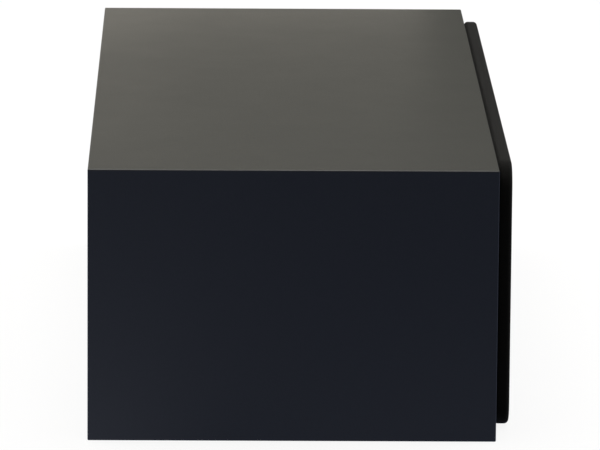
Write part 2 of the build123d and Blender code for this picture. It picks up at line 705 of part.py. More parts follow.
def tweeter():
    """Writes every piece of the tweeter but its screws and tabs."""
    inner = DOME_RADIUS - DOME_COIL_WALL
    former = rod(DOME_RADIUS, TWEETER_SEAT, TWEETER_SEAT + DOME_FORMER_LENGTH, inner)
    winding_front = TWEETER_SEAT + GLUE_GAP
    winding = rod(
        DOME_RADIUS + DOME_COIL_WALL, winding_front, winding_front + DOME_WINDING, DOME_RADIUS
    )
    dome = domed_cap(DOME_RADIUS, TWEETER_SEAT, DOME_RISE, DOME_THICKNESS)
    save("tweeter_faceplate", facing_front(tweeter_faceplate(), 0))
    save("tweeter_dome", facing_front(dome, 0))
    save("tweeter_surround", facing_front(dome_roll(), 0))
    save("tweeter_voice_coil", facing_front(former, 0), facing_front(winding, 0))
    front_plate, magnet, yoke = motor(
        TWEETER_MOTOR_RADIUS,
        TWEETER_MOTOR_PLATE,
        inner,
        DOME_RADIUS + DOME_COIL_WALL,
        TWEETER_MAGNET_RADIUS,
        TWEETER_MAGNET_BORE,
        TWEETER_MAGNET_HEIGHT,
        TWEETER_SEAT,
        0,
    )
    save("tweeter_front_plate", facing_front(front_plate, 0))
    save("tweeter_magnet", facing_front(magnet, 0))
    save("tweeter_yoke", facing_front(yoke, 0))


def dome_roll():
    """The dome's own half-roll, from its base to a lip under the face plate."""
    seat = TWEETER_SEAT
    inside = DOME_ROLL - DOME_THICKNESS
    centre = DOME_RADIUS + DOME_ROLL
    reach = (DOME_ROLL**2 - DOME_THICKNESS**2) ** 0.5
    front = seat - DOME_THICKNESS
    return turned(
        Line((DOME_RADIUS, 0, seat), (centre - inside, 0, seat)),
        ThreePointArc((centre - inside, 0, seat), (centre, 0, seat - inside), (centre + inside, 0, seat)),
        Line((centre + inside, 0, seat), (DOME_LIP, 0, seat)),
        Line((DOME_LIP, 0, seat), (DOME_LIP, 0, front)),
        Line((DOME_LIP, 0, front), (centre + reach, 0, front)),
        ThreePointArc((centre + reach, 0, front), (centre, 0, seat - DOME_ROLL), (DOME_RADIUS, 0, seat)),
    )


# ================================================================ driver terminals
def tab_pair(depth):
    """A fibre strip along Y with two spade tabs that stand rearwards, its back at h = 0."""
    half_depth, half_width = depth / 2, TAB_BOARD_WIDTH / 2
    pieces = [block(-half_depth, half_depth, -half_width, half_width, 0, TAB_BOARD)]
    blade = block(
        -TAB_THICKNESS / 2,
        TAB_THICKNESS / 2,
        -TAB_WIDTH / 2,
        TAB_WIDTH / 2,
        TAB_BOARD,
        TAB_BOARD + TAB_LENGTH,
    )
    pieces += [Pos(0, dy, 0) * blade for dy in (-TAB_SPACING / 2, TAB_SPACING / 2)]
    return pieces


def driver_terminals():
    """The tab strips of both woofers and of the tweeter."""
    made = []
    for _, side in SIDES:
        x = side * (WOOFER_OFFSET - WOOFER_TAB_RADIUS)
        y = FACE_Y + BASKET_DEPTH
        made += [facing_front(piece, x, y=y) for piece in tab_pair(TAB_BOARD_LENGTH)]
    y = FACE_Y + TWEETER_PLATE
    for piece in tab_pair(TWEETER_TAB_BOARD):
        made.append(facing_front(Rot(0, 0, 90) * piece, 0, AXIS_Z - TWEETER_TAB_RADIUS, y))
    return made


# ================================================================ grille
def grille_envelope(inset):
    """The grille's outer form, drawn in on every side by inset."""
    return rounded_slab(
        GRILLE_LENGTH - 2 * inset,
        GRILLE_HEIGHT - 2 * inset,
        GRILLE_BACK_Y - GRILLE_THICKNESS + inset,
        GRILLE_BACK_Y - inset,
        GRILLE_CORNER - inset,
        GRILLE_FRONT_ROUND - inset,
        GRILLE_BACK_ROUND - inset,
    )


def grille_windows():
    """(x0, x1) of each opening between the frame's bars."""
    end = GRILLE_LENGTH / 2 - FRAME_BAR - CLOTH_THICKNESS
    half = RIB_WIDTH / 2
    ribs = (-OUTER_RIB_X, -INNER_RIB_X, INNER_RIB_X, OUTER_RIB_X)
    starts = [-end, *[x + half for x in ribs]]
    ends = [*[x - half for x in ribs], end]
    return list(zip(starts, ends))


def grille_frame():
    """The moulded frame: a rim, cross ribs and a pad at each peg."""
    frame = grille_envelope(CLOTH_THICKNESS)
    low, high = AXIS_Z - WINDOW_HEIGHT / 2, AXIS_Z + WINDOW_HEIGHT / 2
    for x0, x1 in grille_windows():
        opening = block(x0, x1, FRAME_BACK_Y - 2 * GRILLE_THICKNESS, FACE_Y, low, high)
        corner = min(WINDOW_CORNER, (x1 - x0) / 2 - GLUE_GAP)
        frame -= fillet(opening.edges().filter_by(Axis.Y), corner)
    for x, z in peg_places():
        pad = rod(PEG_PAD_RADIUS, -PEG_PAD_THICKNESS, 0)
        frame += facing_front(pad, x, z, FRAME_BACK_Y)
    for x, z in peg_places():
        hole = rod(PEG_SPIGOT_RADIUS + GLUE_GAP / 2, -PEG_SPIGOT_LENGTH - GLUE_GAP, 1)
        frame -= facing_front(hole, x, z, FRAME_BACK_Y)
    return frame


def grille_cloth():
    """The cloth stretched over the front, round the rim and onto the frame's back."""
    cloth = grille_envelope(0) - grille_envelope(CLOTH_THICKNESS)
    turn_in = 2 * CLOTH_TURN_IN
    return cloth - rounded_slab(
        GRILLE_LENGTH - turn_in,
        GRILLE_HEIGHT - turn_in,
        FRAME_BACK_Y - CLOTH_THICKNESS,
        FACE_Y,
        GRILLE_CORNER - CLOTH_TURN_IN,
    )


def grille_pegs():
    """The push-in pegs on the back of the frame."""
    stem = rod(PEG_RADIUS, 0, PEG_LENGTH)
    stem = fillet(stem.edges().group_by(Axis.Z)[-1], PEG_TIP)
    peg = stem + rod(PEG_SPIGOT_RADIUS, -PEG_SPIGOT_LENGTH, 0)
    return [facing_front(peg, x, z, FRAME_BACK_Y) for x, z in peg_places()]


def grille_sockets():
    """The flanged rubber sockets in the baffle."""
    socket = rod(SOCKET_RADIUS, 0, SOCKET_DEPTH) + rod(SOCKET_FLANGE_RADIUS, -SOCKET_FLANGE, 0)
    socket -= rod(PEG_RADIUS + SLIDE_FIT, -SOCKET_FLANGE - 1, SOCKET_BORE_DEPTH - SOCKET_FLANGE)
    return [facing_front(socket, x, z) for x, z in peg_places()]


# ================================================================ rear
def port_tube(side):
    """A flared bass port that opens through the rear panel."""
    outside = PORT_RADIUS + PORT_WALL
    mouth = PORT_RADIUS + PORT_FLARE
    flange_inner = PORT_LENGTH - REAR_RECESS
    neck = flange_inner - PORT_NECK_LENGTH
    bow = PORT_FLARE * (1 - sin(pi / 4))
    tube = turned(
        Line((PORT_RADIUS, 0, 0), (PORT_RADIUS, 0, PORT_LENGTH - PORT_FLARE)),
        ThreePointArc(
            (PORT_RADIUS, 0, PORT_LENGTH - PORT_FLARE),
            (PORT_RADIUS + bow, 0, PORT_LENGTH - bow),
            (mouth, 0, PORT_LENGTH),
        ),
        Line((mouth, 0, PORT_LENGTH), (PORT_FLANGE_RADIUS, 0, PORT_LENGTH)),
        Line((PORT_FLANGE_RADIUS, 0, PORT_LENGTH), (PORT_FLANGE_RADIUS, 0, flange_inner)),
        Line((PORT_FLANGE_RADIUS, 0, flange_inner), (PORT_NECK_RADIUS, 0, flange_inner)),
        Line((PORT_NECK_RADIUS, 0, flange_inner), (PORT_NECK_RADIUS, 0, neck)),
        Line((PORT_NECK_RADIUS, 0, neck), (outside, 0, neck - PORT_NECK_RADIUS + outside)),
        Line((outside, 0, neck - PORT_NECK_RADIUS + outside), (outside, 0, 0)),
        Line((outside, 0, 0), (PORT_RADIUS, 0, 0)),
    )
    return facing_front(tube, side * PORT_OFFSET, y=REAR_EDGE_Y - PORT_LENGTH)


def terminal_cup():
    """The moulded cup that sinks the binding posts into the rear panel."""
    margin = 2 * CUP_FLANGE_MARGIN
    walls = 2 * CUP_WALL
    floor_back = CUP_FLOOR_Y - CUP_FLOOR
    flange = rounded_slab(
        CUP_WIDTH + margin, CUP_HEIGHT + margin, REAR_FACE_Y, REAR_EDGE_Y, CUP_CORNER
    )
    flange = fillet(flange.edges().group_by(Axis.Y)[-1], CUP_FLANGE_ROUND)
    body = rounded_slab(
        CUP_WIDTH + walls, CUP_HEIGHT + walls, floor_back, REAR_FACE_Y, CUP_CORNER + CUP_WALL
    )
    cup = flange + body
    cup -= rounded_slab(CUP_WIDTH, CUP_HEIGHT, CUP_FLOOR_Y, REAR_EDGE_Y + 1, CUP_CORNER)
    for _, side in POSTS:
        hole = rod(POST_RADIUS + SLIDE_FIT, -1, CUP_FLOOR + 1)
        cup -= facing_front(hole, side * POST_SPACING / 2, y=floor_back)
    for x, z in screw_places_cup():
        shank = rod(SCREW_SHANK_RADIUS + 2 * GLUE_GAP, -1, REAR_RECESS + 1)
        head = rod(SCREW_HEAD_RADIUS + SEAT_GAP, REAR_RECESS - SCREW_HEAD_HEIGHT, REAR_RECESS + 1)
        cup -= facing_front(shank + head, x, z, REAR_FACE_Y)
    return cup


def post_x(side):
    """The x of a binding post: the positive post is on +X."""
    return side * POST_SPACING / 2


def binding_post(side):
    """The hollow brass stud of one binding post, open at the rear for a plug."""
    start = BOARD_FRONT_Y - NUT_HEIGHT - POST_TAIL
    length = POST_END_Y - start
    stud = rod(POST_RADIUS, 0, length)
    stud -= rod(POST_BORE_RADIUS, length - POST_BORE_DEPTH, length + 1)
    wire_hole = Cylinder(POST_WIRE_HOLE, 4 * POST_RADIUS, rotation=(0, 90, 0))
    wire_hole_at = CAP_FOOT_Y - start + POST_WIRE_HOLE + 2 * GLUE_GAP
    stud -= Pos(0, 0, wire_hole_at) * wire_hole
    return facing_front(stud, post_x(side), y=start)


def post_bushes():
    """The insulating bushes each side of the cup's floor, for both posts."""
    outer = rod(BUSH_RADIUS, 0, BUSH_HEIGHT, POST_RADIUS + SLIDE_FIT)
    inner = rod(BUSH_RADIUS, 0, BOARD_STANDOFF, POST_RADIUS + SLIDE_FIT)
    made = []
    for _, side in POSTS:
        made.append(facing_front(outer, post_x(side), y=CUP_FLOOR_Y))
        made.append(facing_front(inner, post_x(side), y=BOARD_REAR_Y))
    return made


def post_nuts():
    """The hex nuts that clamp the crossover board onto the posts."""
    flats = NUT_ACROSS_FLATS / 2
    hexagon = RegularPolygon(flats, 6, major_radius=False)
    nut = extrude(hexagon, amount=NUT_HEIGHT) - rod(POST_RADIUS + SLIDE_FIT, -1, NUT_HEIGHT + 1)
    start = BOARD_FRONT_Y - NUT_HEIGHT
    return [facing_front(nut, post_x(side), y=start) for _, side in POSTS]


def ring_span():
    """The start and end of the coloured ring along a binding-post cap."""
    end = CAP_LENGTH - CAP_RING_FROM_END
    return end - CAP_RING_WIDTH, end


def post_cap(side):
    """The fluted cap that screws down a binding post, open at its end for a plug."""
    cap = rod(CAP_RADIUS, 0, CAP_LENGTH)
    cap = fillet(cap.edges().group_by(Axis.Z)[-1], CAP_ROUND)
    stud_end = POST_END_Y - CAP_FOOT_Y + SEAT_GAP
    cap -= rod(POST_RADIUS + SLIDE_FIT, -1, stud_end)
    cap -= rod(CAP_MOUTH_RADIUS, 0, CAP_LENGTH + 1)
    ring_start, ring_end = ring_span()
    for x, y in around(CAP_FLUTES, CAP_RADIUS + CAP_FLUTE_RADIUS / 2):
        cap -= Pos(x, y, 0) * rod(CAP_FLUTE_RADIUS, -1, ring_start - 2 * CAP_FLUTE_RADIUS)
    groove = rod(
        CAP_RADIUS + 1,
        ring_start - SLIDE_FIT,
        ring_end + SLIDE_FIT,
        CAP_RADIUS - CAP_RING_DEPTH,
    )
    return facing_front(cap - groove, post_x(side), y=CAP_FOOT_Y)


def cap_ring(side):
    """The coloured polarity ring that sits in the cap's groove."""
    ring_start, ring_end = ring_span()
    ring = rod(CAP_RADIUS, ring_start, ring_end, CAP_RADIUS - CAP_RING_DEPTH + SLIDE_FIT)
    return facing_front(ring, post_x(side), y=CAP_FOOT_Y)


# ================================================================ crossover
def on_board(part, x, height):
    """Stands a part, drawn about Z from 0, on the board's front face."""
    return Pos(x, BOARD_FRONT_Y, AXIS_Z + height) * Rot(90, 0, 0) * part


def from_board_end(side, inset):
    """The x that lies inset from the board's end on one side."""
    return side * (BOARD_WIDTH / 2 - inset)


def crossover_board():
    """The crossover's printed board, clamped on the two posts."""
    board = block(
        -BOARD_WIDTH / 2,
        BOARD_WIDTH / 2,
        BOARD_FRONT_Y,
        BOARD_REAR_Y,
        AXIS_Z - BOARD_HEIGHT / 2,
        AXIS_Z + BOARD_HEIGHT / 2,
    )
    for _, side in POSTS:
        hole = rod(POST_RADIUS + SLIDE_FIT, -1, BOARD_THICKNESS + 1)
        board -= facing_front(hole, post_x(side), y=BOARD_FRONT_Y)
    return board


def crossover_coils():
    """The air-cored inductors."""
    made = []
    for side, inset, height, outer, bore, length in COILS:
        made.append(on_board(rod(outer, 0, length, bore), from_board_end(side, inset), height))
    return made


def crossover_capacitors():
    """The capacitors, lying on the board along X."""
    made = []
    for x, height, radius, length in CAPACITORS:
        can = rod(radius, -length / 2, length / 2)
        can = fillet(can.edges().filter_by(GeomType.CIRCLE), CAPACITOR_RIM)
        made.append(on_board(Pos(0, 0, radius) * Rot(0, 90, 0) * can, x, height))
    return made


def crossover_resistors():
    """The cement power resistors, standing up the board."""
    made = []
    for side, inset, height, width, thickness, length in RESISTORS:
        body = block(-width / 2, width / 2, -length / 2, length / 2, 0, thickness)
        made.append(on_board(body, from_board_end(side, inset), height))
    return made


# ================================================================ wiring
def wire(name, start, end, bends):
    """A round lead that leaves start and meets end along Y.

    The bends between are given as (share of the way, dx, dz).
    """
    begin, finish = Vector(*start), Vector(*end)
    route = [begin, begin + Vector(0, WIRE_LEAD, 0)]
    for share, dx, dz in bends:
        route.append(begin + (finish - begin) * share + Vector(dx, 0, dz))
    route += [finish - Vector(0, WIRE_LEAD, 0), finish]
    arcs = []
    for before, here, after in zip(route, route[1:], route[2:]):
        half_turn = radians((here - before).get_angle(after - here)) / 2
        run = min((here - before).length, (after - here).length)
        arcs.append(WIRE_ARC_SHARE * run / tan(half_turn))
    path = FilletPolyline(*route, radius=arcs)
    lead = sweep(Plane(origin=path @ 0, z_dir=path % 0) * Circle(WIRE_RADIUS), path=path)
    share = lead.volume / (pi * WIRE_RADIUS**2 * path.length)
    radii = ", ".join(f"{radius:.0f}" for radius in arcs)
    print(f"{name}: {path.length:.0f} mm, arcs of {radii} mm, volume {share:.4f} of the section")
    return lead


def woofer_wire(side, polarity):
    """One lead from a woofer's tab to the edge of the crossover board."""
    tab_x = side * (WOOFER_OFFSET - WOOFER_TAB_RADIUS)
    tab_y = FACE_Y + BASKET_DEPTH + TAB_BOARD + TAB_LENGTH
    board_x = from_board_end(side, WIRE_EDGE_INSET)
    board_z = AXIS_Z - WIRE_DROP + polarity * WIRE_SPACING
    return wire(
        f"woofer lead, side {side}, polarity {polarity}",
        (tab_x, tab_y, AXIS_Z + polarity * TAB_SPACING / 2),
        (board_x, BOARD_FRONT_Y, board_z),
        ((0.3, side * 8, -3), (0.5, side * 4, -11), (0.7, side * 1, -11)),
    )


def tweeter_wire(polarity):
    """One lead from a tweeter tab to the foot of the crossover board."""
    tab_y = FACE_Y + TWEETER_PLATE + TAB_BOARD + TAB_LENGTH
    return wire(
        f"tweeter lead, polarity {polarity}",
        (polarity * TAB_SPACING / 2, tab_y, AXIS_Z - TWEETER_TAB_RADIUS),
        (polarity * WIRE_SPACING - WIRE_SHIFT, BOARD_FRONT_Y, AXIS_Z - BOARD_HEIGHT / 2 + WIRE_FOOT),
        ((0.26, 2, -5), (0.42, 3, -13), (0.58, 1, -16), (0.74, -1, -13)),
    )


def wires(polarity):
    """All leads of one colour: both woofers and the tweeter."""
    return [woofer_wire(side, polarity) for _, side in SIDES] + [tweeter_wire(polarity)]


# ================================================================ the whole speaker
def build():
    os.makedirs("parts", exist_ok=True)
    for name, panel in cabinet_panels().items():
        save(name, panel)
    save("front_baffle", front_baffle())
    save("rear_panel", rear_panel())
    for name, side in SIDES:
        save(f"{name}_brace", brace(side))
        save(f"{name}_damping_mat", damping_mat(side))
        woofer(name, side)
        save(f"{name}_port_tube", port_tube(side))
    tweeter()
    save("driver_terminals", *driver_terminals())
    save("wood_screws", *wood_screws())
    save("grille_frame", grille_frame())
    save("grille_cloth", grille_cloth())
    save("grille_pegs", *grille_pegs())
    save("grille_sockets", *grille_sockets())
    save("terminal_cup", terminal_cup())
    for name, side in POSTS:
        save(f"{name}_post", binding_post(side))
        save(f"{name}_post_cap", post_cap(side))
        save(f"{name}_cap_ring", cap_ring(side))
    save("post_bushes", *post_bushes())
    save("post_nuts", *post_nuts())
    save("crossover_board", crossover_board())
    save("crossover_coils", *crossover_coils())
    save("crossover_capacitors", *crossover_capacitors())
    save("crossover_resistors", *crossover_resistors())
    save("red_wires", *wires(1))
    save("black_wires", *wires(-1))


build()
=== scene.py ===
"""Finishes and fine detail of a centre-channel loudspeaker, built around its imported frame.

Metres. +X runs along the cabinet, the grille faces -Y and +Z is up. The middle of the
cabinet's base is the origin.
"""

import json
from itertools import product
from math import asin, atan2, copysign, cos, pi, radians, sin, sqrt, tau

import bmesh
import bpy
from mathutils import Matrix, Vector, noise


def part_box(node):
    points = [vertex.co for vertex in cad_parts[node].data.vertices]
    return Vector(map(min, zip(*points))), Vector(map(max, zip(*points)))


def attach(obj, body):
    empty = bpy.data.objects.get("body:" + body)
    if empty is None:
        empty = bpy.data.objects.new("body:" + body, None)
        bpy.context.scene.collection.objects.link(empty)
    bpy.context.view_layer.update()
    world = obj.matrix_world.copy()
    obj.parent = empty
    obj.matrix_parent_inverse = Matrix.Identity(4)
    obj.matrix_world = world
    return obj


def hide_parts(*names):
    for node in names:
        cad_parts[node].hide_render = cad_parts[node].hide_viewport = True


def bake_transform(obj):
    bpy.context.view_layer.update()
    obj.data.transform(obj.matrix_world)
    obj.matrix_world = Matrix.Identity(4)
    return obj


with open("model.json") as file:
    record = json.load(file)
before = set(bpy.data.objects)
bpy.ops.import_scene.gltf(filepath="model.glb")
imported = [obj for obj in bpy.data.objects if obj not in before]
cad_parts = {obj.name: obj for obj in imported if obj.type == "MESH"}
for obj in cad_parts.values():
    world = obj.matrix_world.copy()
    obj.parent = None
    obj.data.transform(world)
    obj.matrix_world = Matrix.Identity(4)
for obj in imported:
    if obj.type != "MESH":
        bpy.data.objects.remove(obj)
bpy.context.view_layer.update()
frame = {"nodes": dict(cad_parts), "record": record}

# ------------------------------------------------------------------ sizes from the frame
MM = 0.001
NODES = frame["nodes"]
BAFFLE_LOW, BAFFLE_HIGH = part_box("front_baffle")
CLOTH_LOW, CLOTH_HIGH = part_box("grille_cloth")
AXIS_Z = (BAFFLE_LOW.z + BAFFLE_HIGH.z) / 2
SIDES = (("left", -1), ("right", 1))


# ------------------------------------------------------------------ shader expressions
class Value:
    """A number that varies over a surface, held as a node's output socket."""

    def __init__(self, shading, socket):
        self.shading = shading
        self.socket = socket

    def _math(self, operation, first, second=None):
        inputs = {0: first} if second is None else {0: first, 1: second}
        return self.shading.node("ShaderNodeMath", {"operation": operation}, inputs)

    def __add__(self, other):
        return self._math("ADD", self, other)

    def __mul__(self, other):
        return self._math("MULTIPLY", self, other)

    def __rsub__(self, other):
        return self._math("SUBTRACT", other, self)

    __radd__ = __add__
    __rmul__ = __mul__

    def sine(self):
        return self._math("SINE", self)

    def size(self):
        return self._math("ABSOLUTE", self)

    def largest(self, other):
        return self._math("MAXIMUM", self, other)

    def ramp(self, low, high):
        """Runs smoothly from 0 to 1 while this value runs from low to high."""
        return self.shading.node(
            "ShaderNodeMapRange",
            {"interpolation_type": "SMOOTHSTEP"},
            {"Value": self, "From Min": low, "From Max": high},
        )


class Shading:
    """The nodes of a material or of the world: an output and the patterns that feed it."""

    def __init__(self, owner, output):
        owner.use_nodes = True
        self.tree = owner.node_tree
        self.tree.nodes.clear()
        self.output = self.tree.nodes.new(output)

    def node(self, kind, settings=None, inputs=None, output=0):
        """Adds a node: its settings first, then the values or links of its sockets."""
        made = self.tree.nodes.new(kind)
        for key, value in (settings or {}).items():
            setattr(made, key, value)
        for key, value in (inputs or {}).items():
            if isinstance(value, Value):
                self.tree.links.new(value.socket, made.inputs[key])
            else:
                made.inputs[key].default_value = value
        return Value(self, made.outputs[output])

    def place(self):
        """Where a point lies on the object."""
        return self.node("ShaderNodeTexCoord", output="Object")

    def stretched(self, place, scale):
        return self.node("ShaderNodeMapping", inputs={"Vector": place, "Scale": scale})

    def axes(self, place):
        """The three numbers of a place."""
        split = self.node("ShaderNodeSeparateXYZ", inputs={0: place})
        return split, *[Value(self, split.socket.node.outputs[i]) for i in (1, 2)]

    def noise(self, place, scale=1.0, detail=2.0, roughness=0.5):
        return self.node(
            "ShaderNodeTexNoise",
            inputs={"Vector": place, "Scale": scale, "Detail": detail, "Roughness": roughness},
        )

    def cells(self, place, scale):
        return self.node("ShaderNodeTexVoronoi", inputs={"Vector": place, "Scale": scale})

    def blend(self, amount, first, second):
        """A colour between two colours."""
        low, high = [(*end, 1) if isinstance(end, tuple) else end for end in (first, second)]
        inputs = {0: amount, 6: low, 7: high}
        return self.node("ShaderNodeMix", {"data_type": "RGBA"}, inputs, output=2)

    def seen_by(self, shares):
        """The share that each kind of ray has, as one value."""
        rays = self.tree.nodes.new("ShaderNodeLightPath").outputs
        return sum(share * Value(self, rays[f"Is {kind} Ray"]) for kind, share in shares.items())


class Surface(Shading):
    """A material under construction: its name, and the constants of its shader."""

    def __init__(self, name, **constants):
        self.material = bpy.data.materials.new(name)
        super().__init__(self.material, "ShaderNodeOutputMaterial")
        self.shader = self.tree.nodes.new("ShaderNodeBsdfPrincipled")
        self.tree.links.new(self.shader.outputs[0], self.output.inputs[0])
        for title, value in constants.items():
            socket = title.replace("_", " ").title().replace("Ior", "IOR")
            self.shader.inputs[socket].default_value = value

    def finish(self, colour, roughness=None, height=None, depth=0.0):
        """Feeds the shader and returns the material."""
        fed = {"Base Color": colour}
        if roughness is not None:
            fed["Roughness"] = roughness
        if height is not None:
            fed["Normal"] = self.node("ShaderNodeBump", inputs={"Distance": depth, "Height": height})
        for socket, value in fed.items():
            self.tree.links.new(value.socket, self.shader.inputs[socket])
        return self.material


# ------------------------------------------------------------------ finishes
# A scale is repeats in a metre, and a colour is linear red, green and blue.
CLOUDY = (0.3, 0.75)
MOTTLED = (0.3, 0.7)
LOOP_PITCH = 0.9 * MM
ROW_PITCH = 0.7 * MM


def scaled(colour, share, lift=0.0):
    """A lighter or darker shade of a colour."""
    return tuple(c * share + lift for c in colour)


def vinyl(name, colour, grain_depth):
    """Embossed satin vinyl film: a short, broken grain along the cabinet over fine pebbling."""
    s = Surface(name, ior=1.5)
    place = s.place()
    pebble = s.cells(place, scale=2600.0)
    grain = s.noise(s.stretched(place, (60.0, 900.0, 900.0)), detail=3.0, roughness=0.62)
    cloud = s.noise(place, scale=5.0, detail=3.0)
    handling = s.noise(place, scale=28.0, detail=4.0, roughness=0.7)
    rough = 0.36 + 0.05 * cloud + 0.05 * handling + 0.03 * pebble
    tint = s.blend(grain.ramp(0.35, 0.7), colour, scaled(colour, 1.35))
    return s.finish(tint, rough, height=pebble * 0.35 + grain, depth=grain_depth)


def moulded(name, colour, roughness, texture, depth):
    """Spark-textured moulded plastic or paint."""
    s = Surface(name)
    place = s.place()
    spark = s.noise(place, texture)
    flow = s.noise(place, scale=22.0, detail=3.0)
    tint = s.blend(flow.ramp(*MOTTLED), colour, scaled(colour, 1.3))
    rough = roughness - 0.025 + 0.05 * flow + 0.08 * spark
    return s.finish(tint, rough, height=spark, depth=depth)


def rubber(name, colour, roughness=0.62):
    """Matt rubber with a bloom that comes and goes."""
    s = Surface(name)
    place = s.place()
    bloom = s.noise(place, scale=60.0, detail=4.0, roughness=0.65)
    fine = s.noise(place, scale=1500.0)
    tint = s.blend(bloom.ramp(0.35, 0.75), colour, scaled(colour, 1.6, lift=0.004))
    return s.finish(tint, roughness + 0.12 * bloom, height=fine + bloom * 0.4, depth=0.05 * MM)


def knitted_cloth():
    """Black acoustic knit: rows of small open loops, each row half a loop along."""
    s = Surface(
        "grille_knit",
        roughness=0.85,
        sheen_weight=0.09,
        sheen_roughness=0.22,
        specular_ior_level=0.05,
    )
    knit = s.node("ShaderNodeUVMap", {"uv_map": "knit"})
    u, v, _ = s.axes(knit)
    across = u * (1 / LOOP_PITCH)
    up = v * (1 / ROW_PITCH)
    thread = (across * tau).sine() * (up * pi).sine()
    second = (across * tau + pi / 2).sine() * (up * pi + pi / 2).sine()
    loops = thread.size().largest(second.size())
    fuzz = s.noise(s.stretched(knit, (3000.0, 3000.0, 1.0)))
    stretch = s.noise(s.stretched(knit, (26.0, 9.0, 1.0)))
    shade = loops.ramp(0.2, 0.9) * (0.75 + 0.5 * stretch)
    tint = s.blend(shade, (0.0008, 0.0008, 0.0008), (0.0118, 0.0115, 0.0108))
    return s.finish(tint, 0.82 + 0.12 * fuzz, height=loops + 0.25 * fuzz, depth=0.18 * MM)


def cone_plastic():
    """Mineral-filled polypropylene, speckled and faintly lacquered."""
    s = Surface("cone_polypropylene", coat_roughness=0.3, coat_weight=0.15)
    place = s.place()
    speck = s.noise(place, scale=1300.0, detail=3.0, roughness=0.7)
    cloud = s.noise(place, scale=40.0, detail=3.0)
    tint = s.blend(speck.ramp(0.45, 0.75), (0.012, 0.012, 0.013), (0.032, 0.032, 0.034))
    return s.finish(tint, 0.38 + 0.12 * cloud, height=speck, depth=0.03 * MM)


def woven(name, dark, light, pitch, coat, roughness=0.85):
    """A plain weave on the object's own axes, for the dome and the spiders."""
    s = Surface(name, coat_weight=coat, coat_roughness=0.35)
    place = s.place()
    x, _, z = s.axes(place)
    threads = ((x * (tau / pitch)).sine() * (z * (tau / pitch)).sine()).size()
    wear = s.noise(place, scale=90.0, detail=3.0)
    tint = s.blend(threads * 0.7 + wear * 0.3, dark, light)
    return s.finish(tint, roughness - 0.1 * wear, height=threads, depth=0.1 * MM)


def metal(name, colour, roughness, brushed, tarnish):
    """Plated or machined metal with fine tool marks and a little tarnish."""
    s = Surface(name, metallic=1.0)
    place = s.place()
    marks = s.noise(s.stretched(place, brushed), detail=3.0, roughness=0.6)
    cloud = s.noise(place, scale=55.0, detail=4.0)
    tint = s.blend(cloud.ramp(*CLOUDY), colour, scaled(colour, 1 - tarnish))
    return s.finish(tint, roughness + 0.14 * marks + 0.08 * cloud, height=marks, depth=0.02 * MM)


def fibreboard():
    """The cut face of medium-density fibreboard."""
    s = Surface("bare_fibreboard", roughness=0.85)
    place = s.place()
    fibre = s.noise(s.stretched(place, (900.0, 260.0, 900.0)), detail=4.0, roughness=0.7)
    patch = s.noise(place, scale=24.0, detail=3.0)
    tint = s.blend(fibre * 0.7 + patch * 0.3, (0.30, 0.20, 0.115), (0.52, 0.38, 0.235))
    return s.finish(tint, 0.8 + 0.12 * fibre, height=fibre, depth=0.12 * MM)


def wadding():
    """White polyester wadding: crimped fibres in a loose web."""
    s = Surface("polyester_wadding", roughness=0.95, sheen_weight=0.3)
    place = s.place()
    web = s.noise(place, scale=420.0, detail=6.0, roughness=0.75)
    lump = s.noise(place, scale=45.0, detail=3.0)
    tint = s.blend(web.ramp(*CLOUDY), (0.52, 0.52, 0.50), (0.84, 0.84, 0.82))
    return s.finish(tint, 0.9 + 0.08 * lump, height=web + lump * 2.0, depth=1.2 * MM)


def ferrite():
    """Sintered ferrite: dull grey-black with chips and fine pores."""
    s = Surface("sintered_ferrite")
    place = s.place()
    pores = s.cells(place, scale=900.0)
    cloud = s.noise(place, scale=35.0, detail=4.0, roughness=0.7)
    tint = s.blend(cloud.ramp(*CLOUDY), (0.022, 0.022, 0.024), (0.06, 0.06, 0.064))
    return s.finish(tint, 0.5 + 0.2 * cloud, height=pores.ramp(0.0, 0.25) + cloud, depth=0.06 * MM)


def wound_copper():
    """Enamelled copper wire, glossy, a little darker in places from its varnish."""
    s = Surface("enamelled_copper", metallic=1.0, coat_weight=0.6, coat_roughness=0.15)
    varnish = s.noise(s.place(), scale=120.0, detail=3.0)
    tint = s.blend(varnish.ramp(*MOTTLED), (0.75, 0.30, 0.12), (0.55, 0.19, 0.07))
    return s.finish(tint, 0.25 + 0.15 * varnish, height=varnish, depth=0.02 * MM)


def circuit_board():
    """Phenolic board with the faint weave of its paper."""
    s = Surface("phenolic_board")
    paper = s.noise(s.stretched(s.place(), (700.0, 200.0, 250.0)), detail=3.0)
    tint = s.blend(paper, (0.25, 0.15, 0.055), (0.42, 0.28, 0.11))
    return s.finish(tint, 0.4 + 0.15 * paper, height=paper, depth=0.03 * MM)


def yellow_film():
    """The yellow film round the capacitors, with the fine lines of its turns."""
    s = Surface("capacitor_wrap", coat_weight=0.4, coat_roughness=0.2)
    wrap = s.noise(s.stretched(s.place(), (30.0, 900.0, 900.0)))
    tint = s.blend(wrap.ramp(*MOTTLED), (0.62, 0.42, 0.06), (0.78, 0.56, 0.12))
    return s.finish(tint, 0.3 + 0.15 * wrap, height=wrap, depth=0.03 * MM)


def cement():
    """Cast cement resistor bodies."""
    s = Surface("cast_cement", roughness=0.8)
    place = s.place()
    grit = s.cells(place, scale=1400.0)
    cloud = s.noise(place, scale=150.0, detail=3.0)
    tint = s.blend(cloud, (0.55, 0.53, 0.49), (0.76, 0.74, 0.69))
    return s.finish(tint, 0.75 + 0.15 * cloud, height=grit + cloud, depth=0.08 * MM)


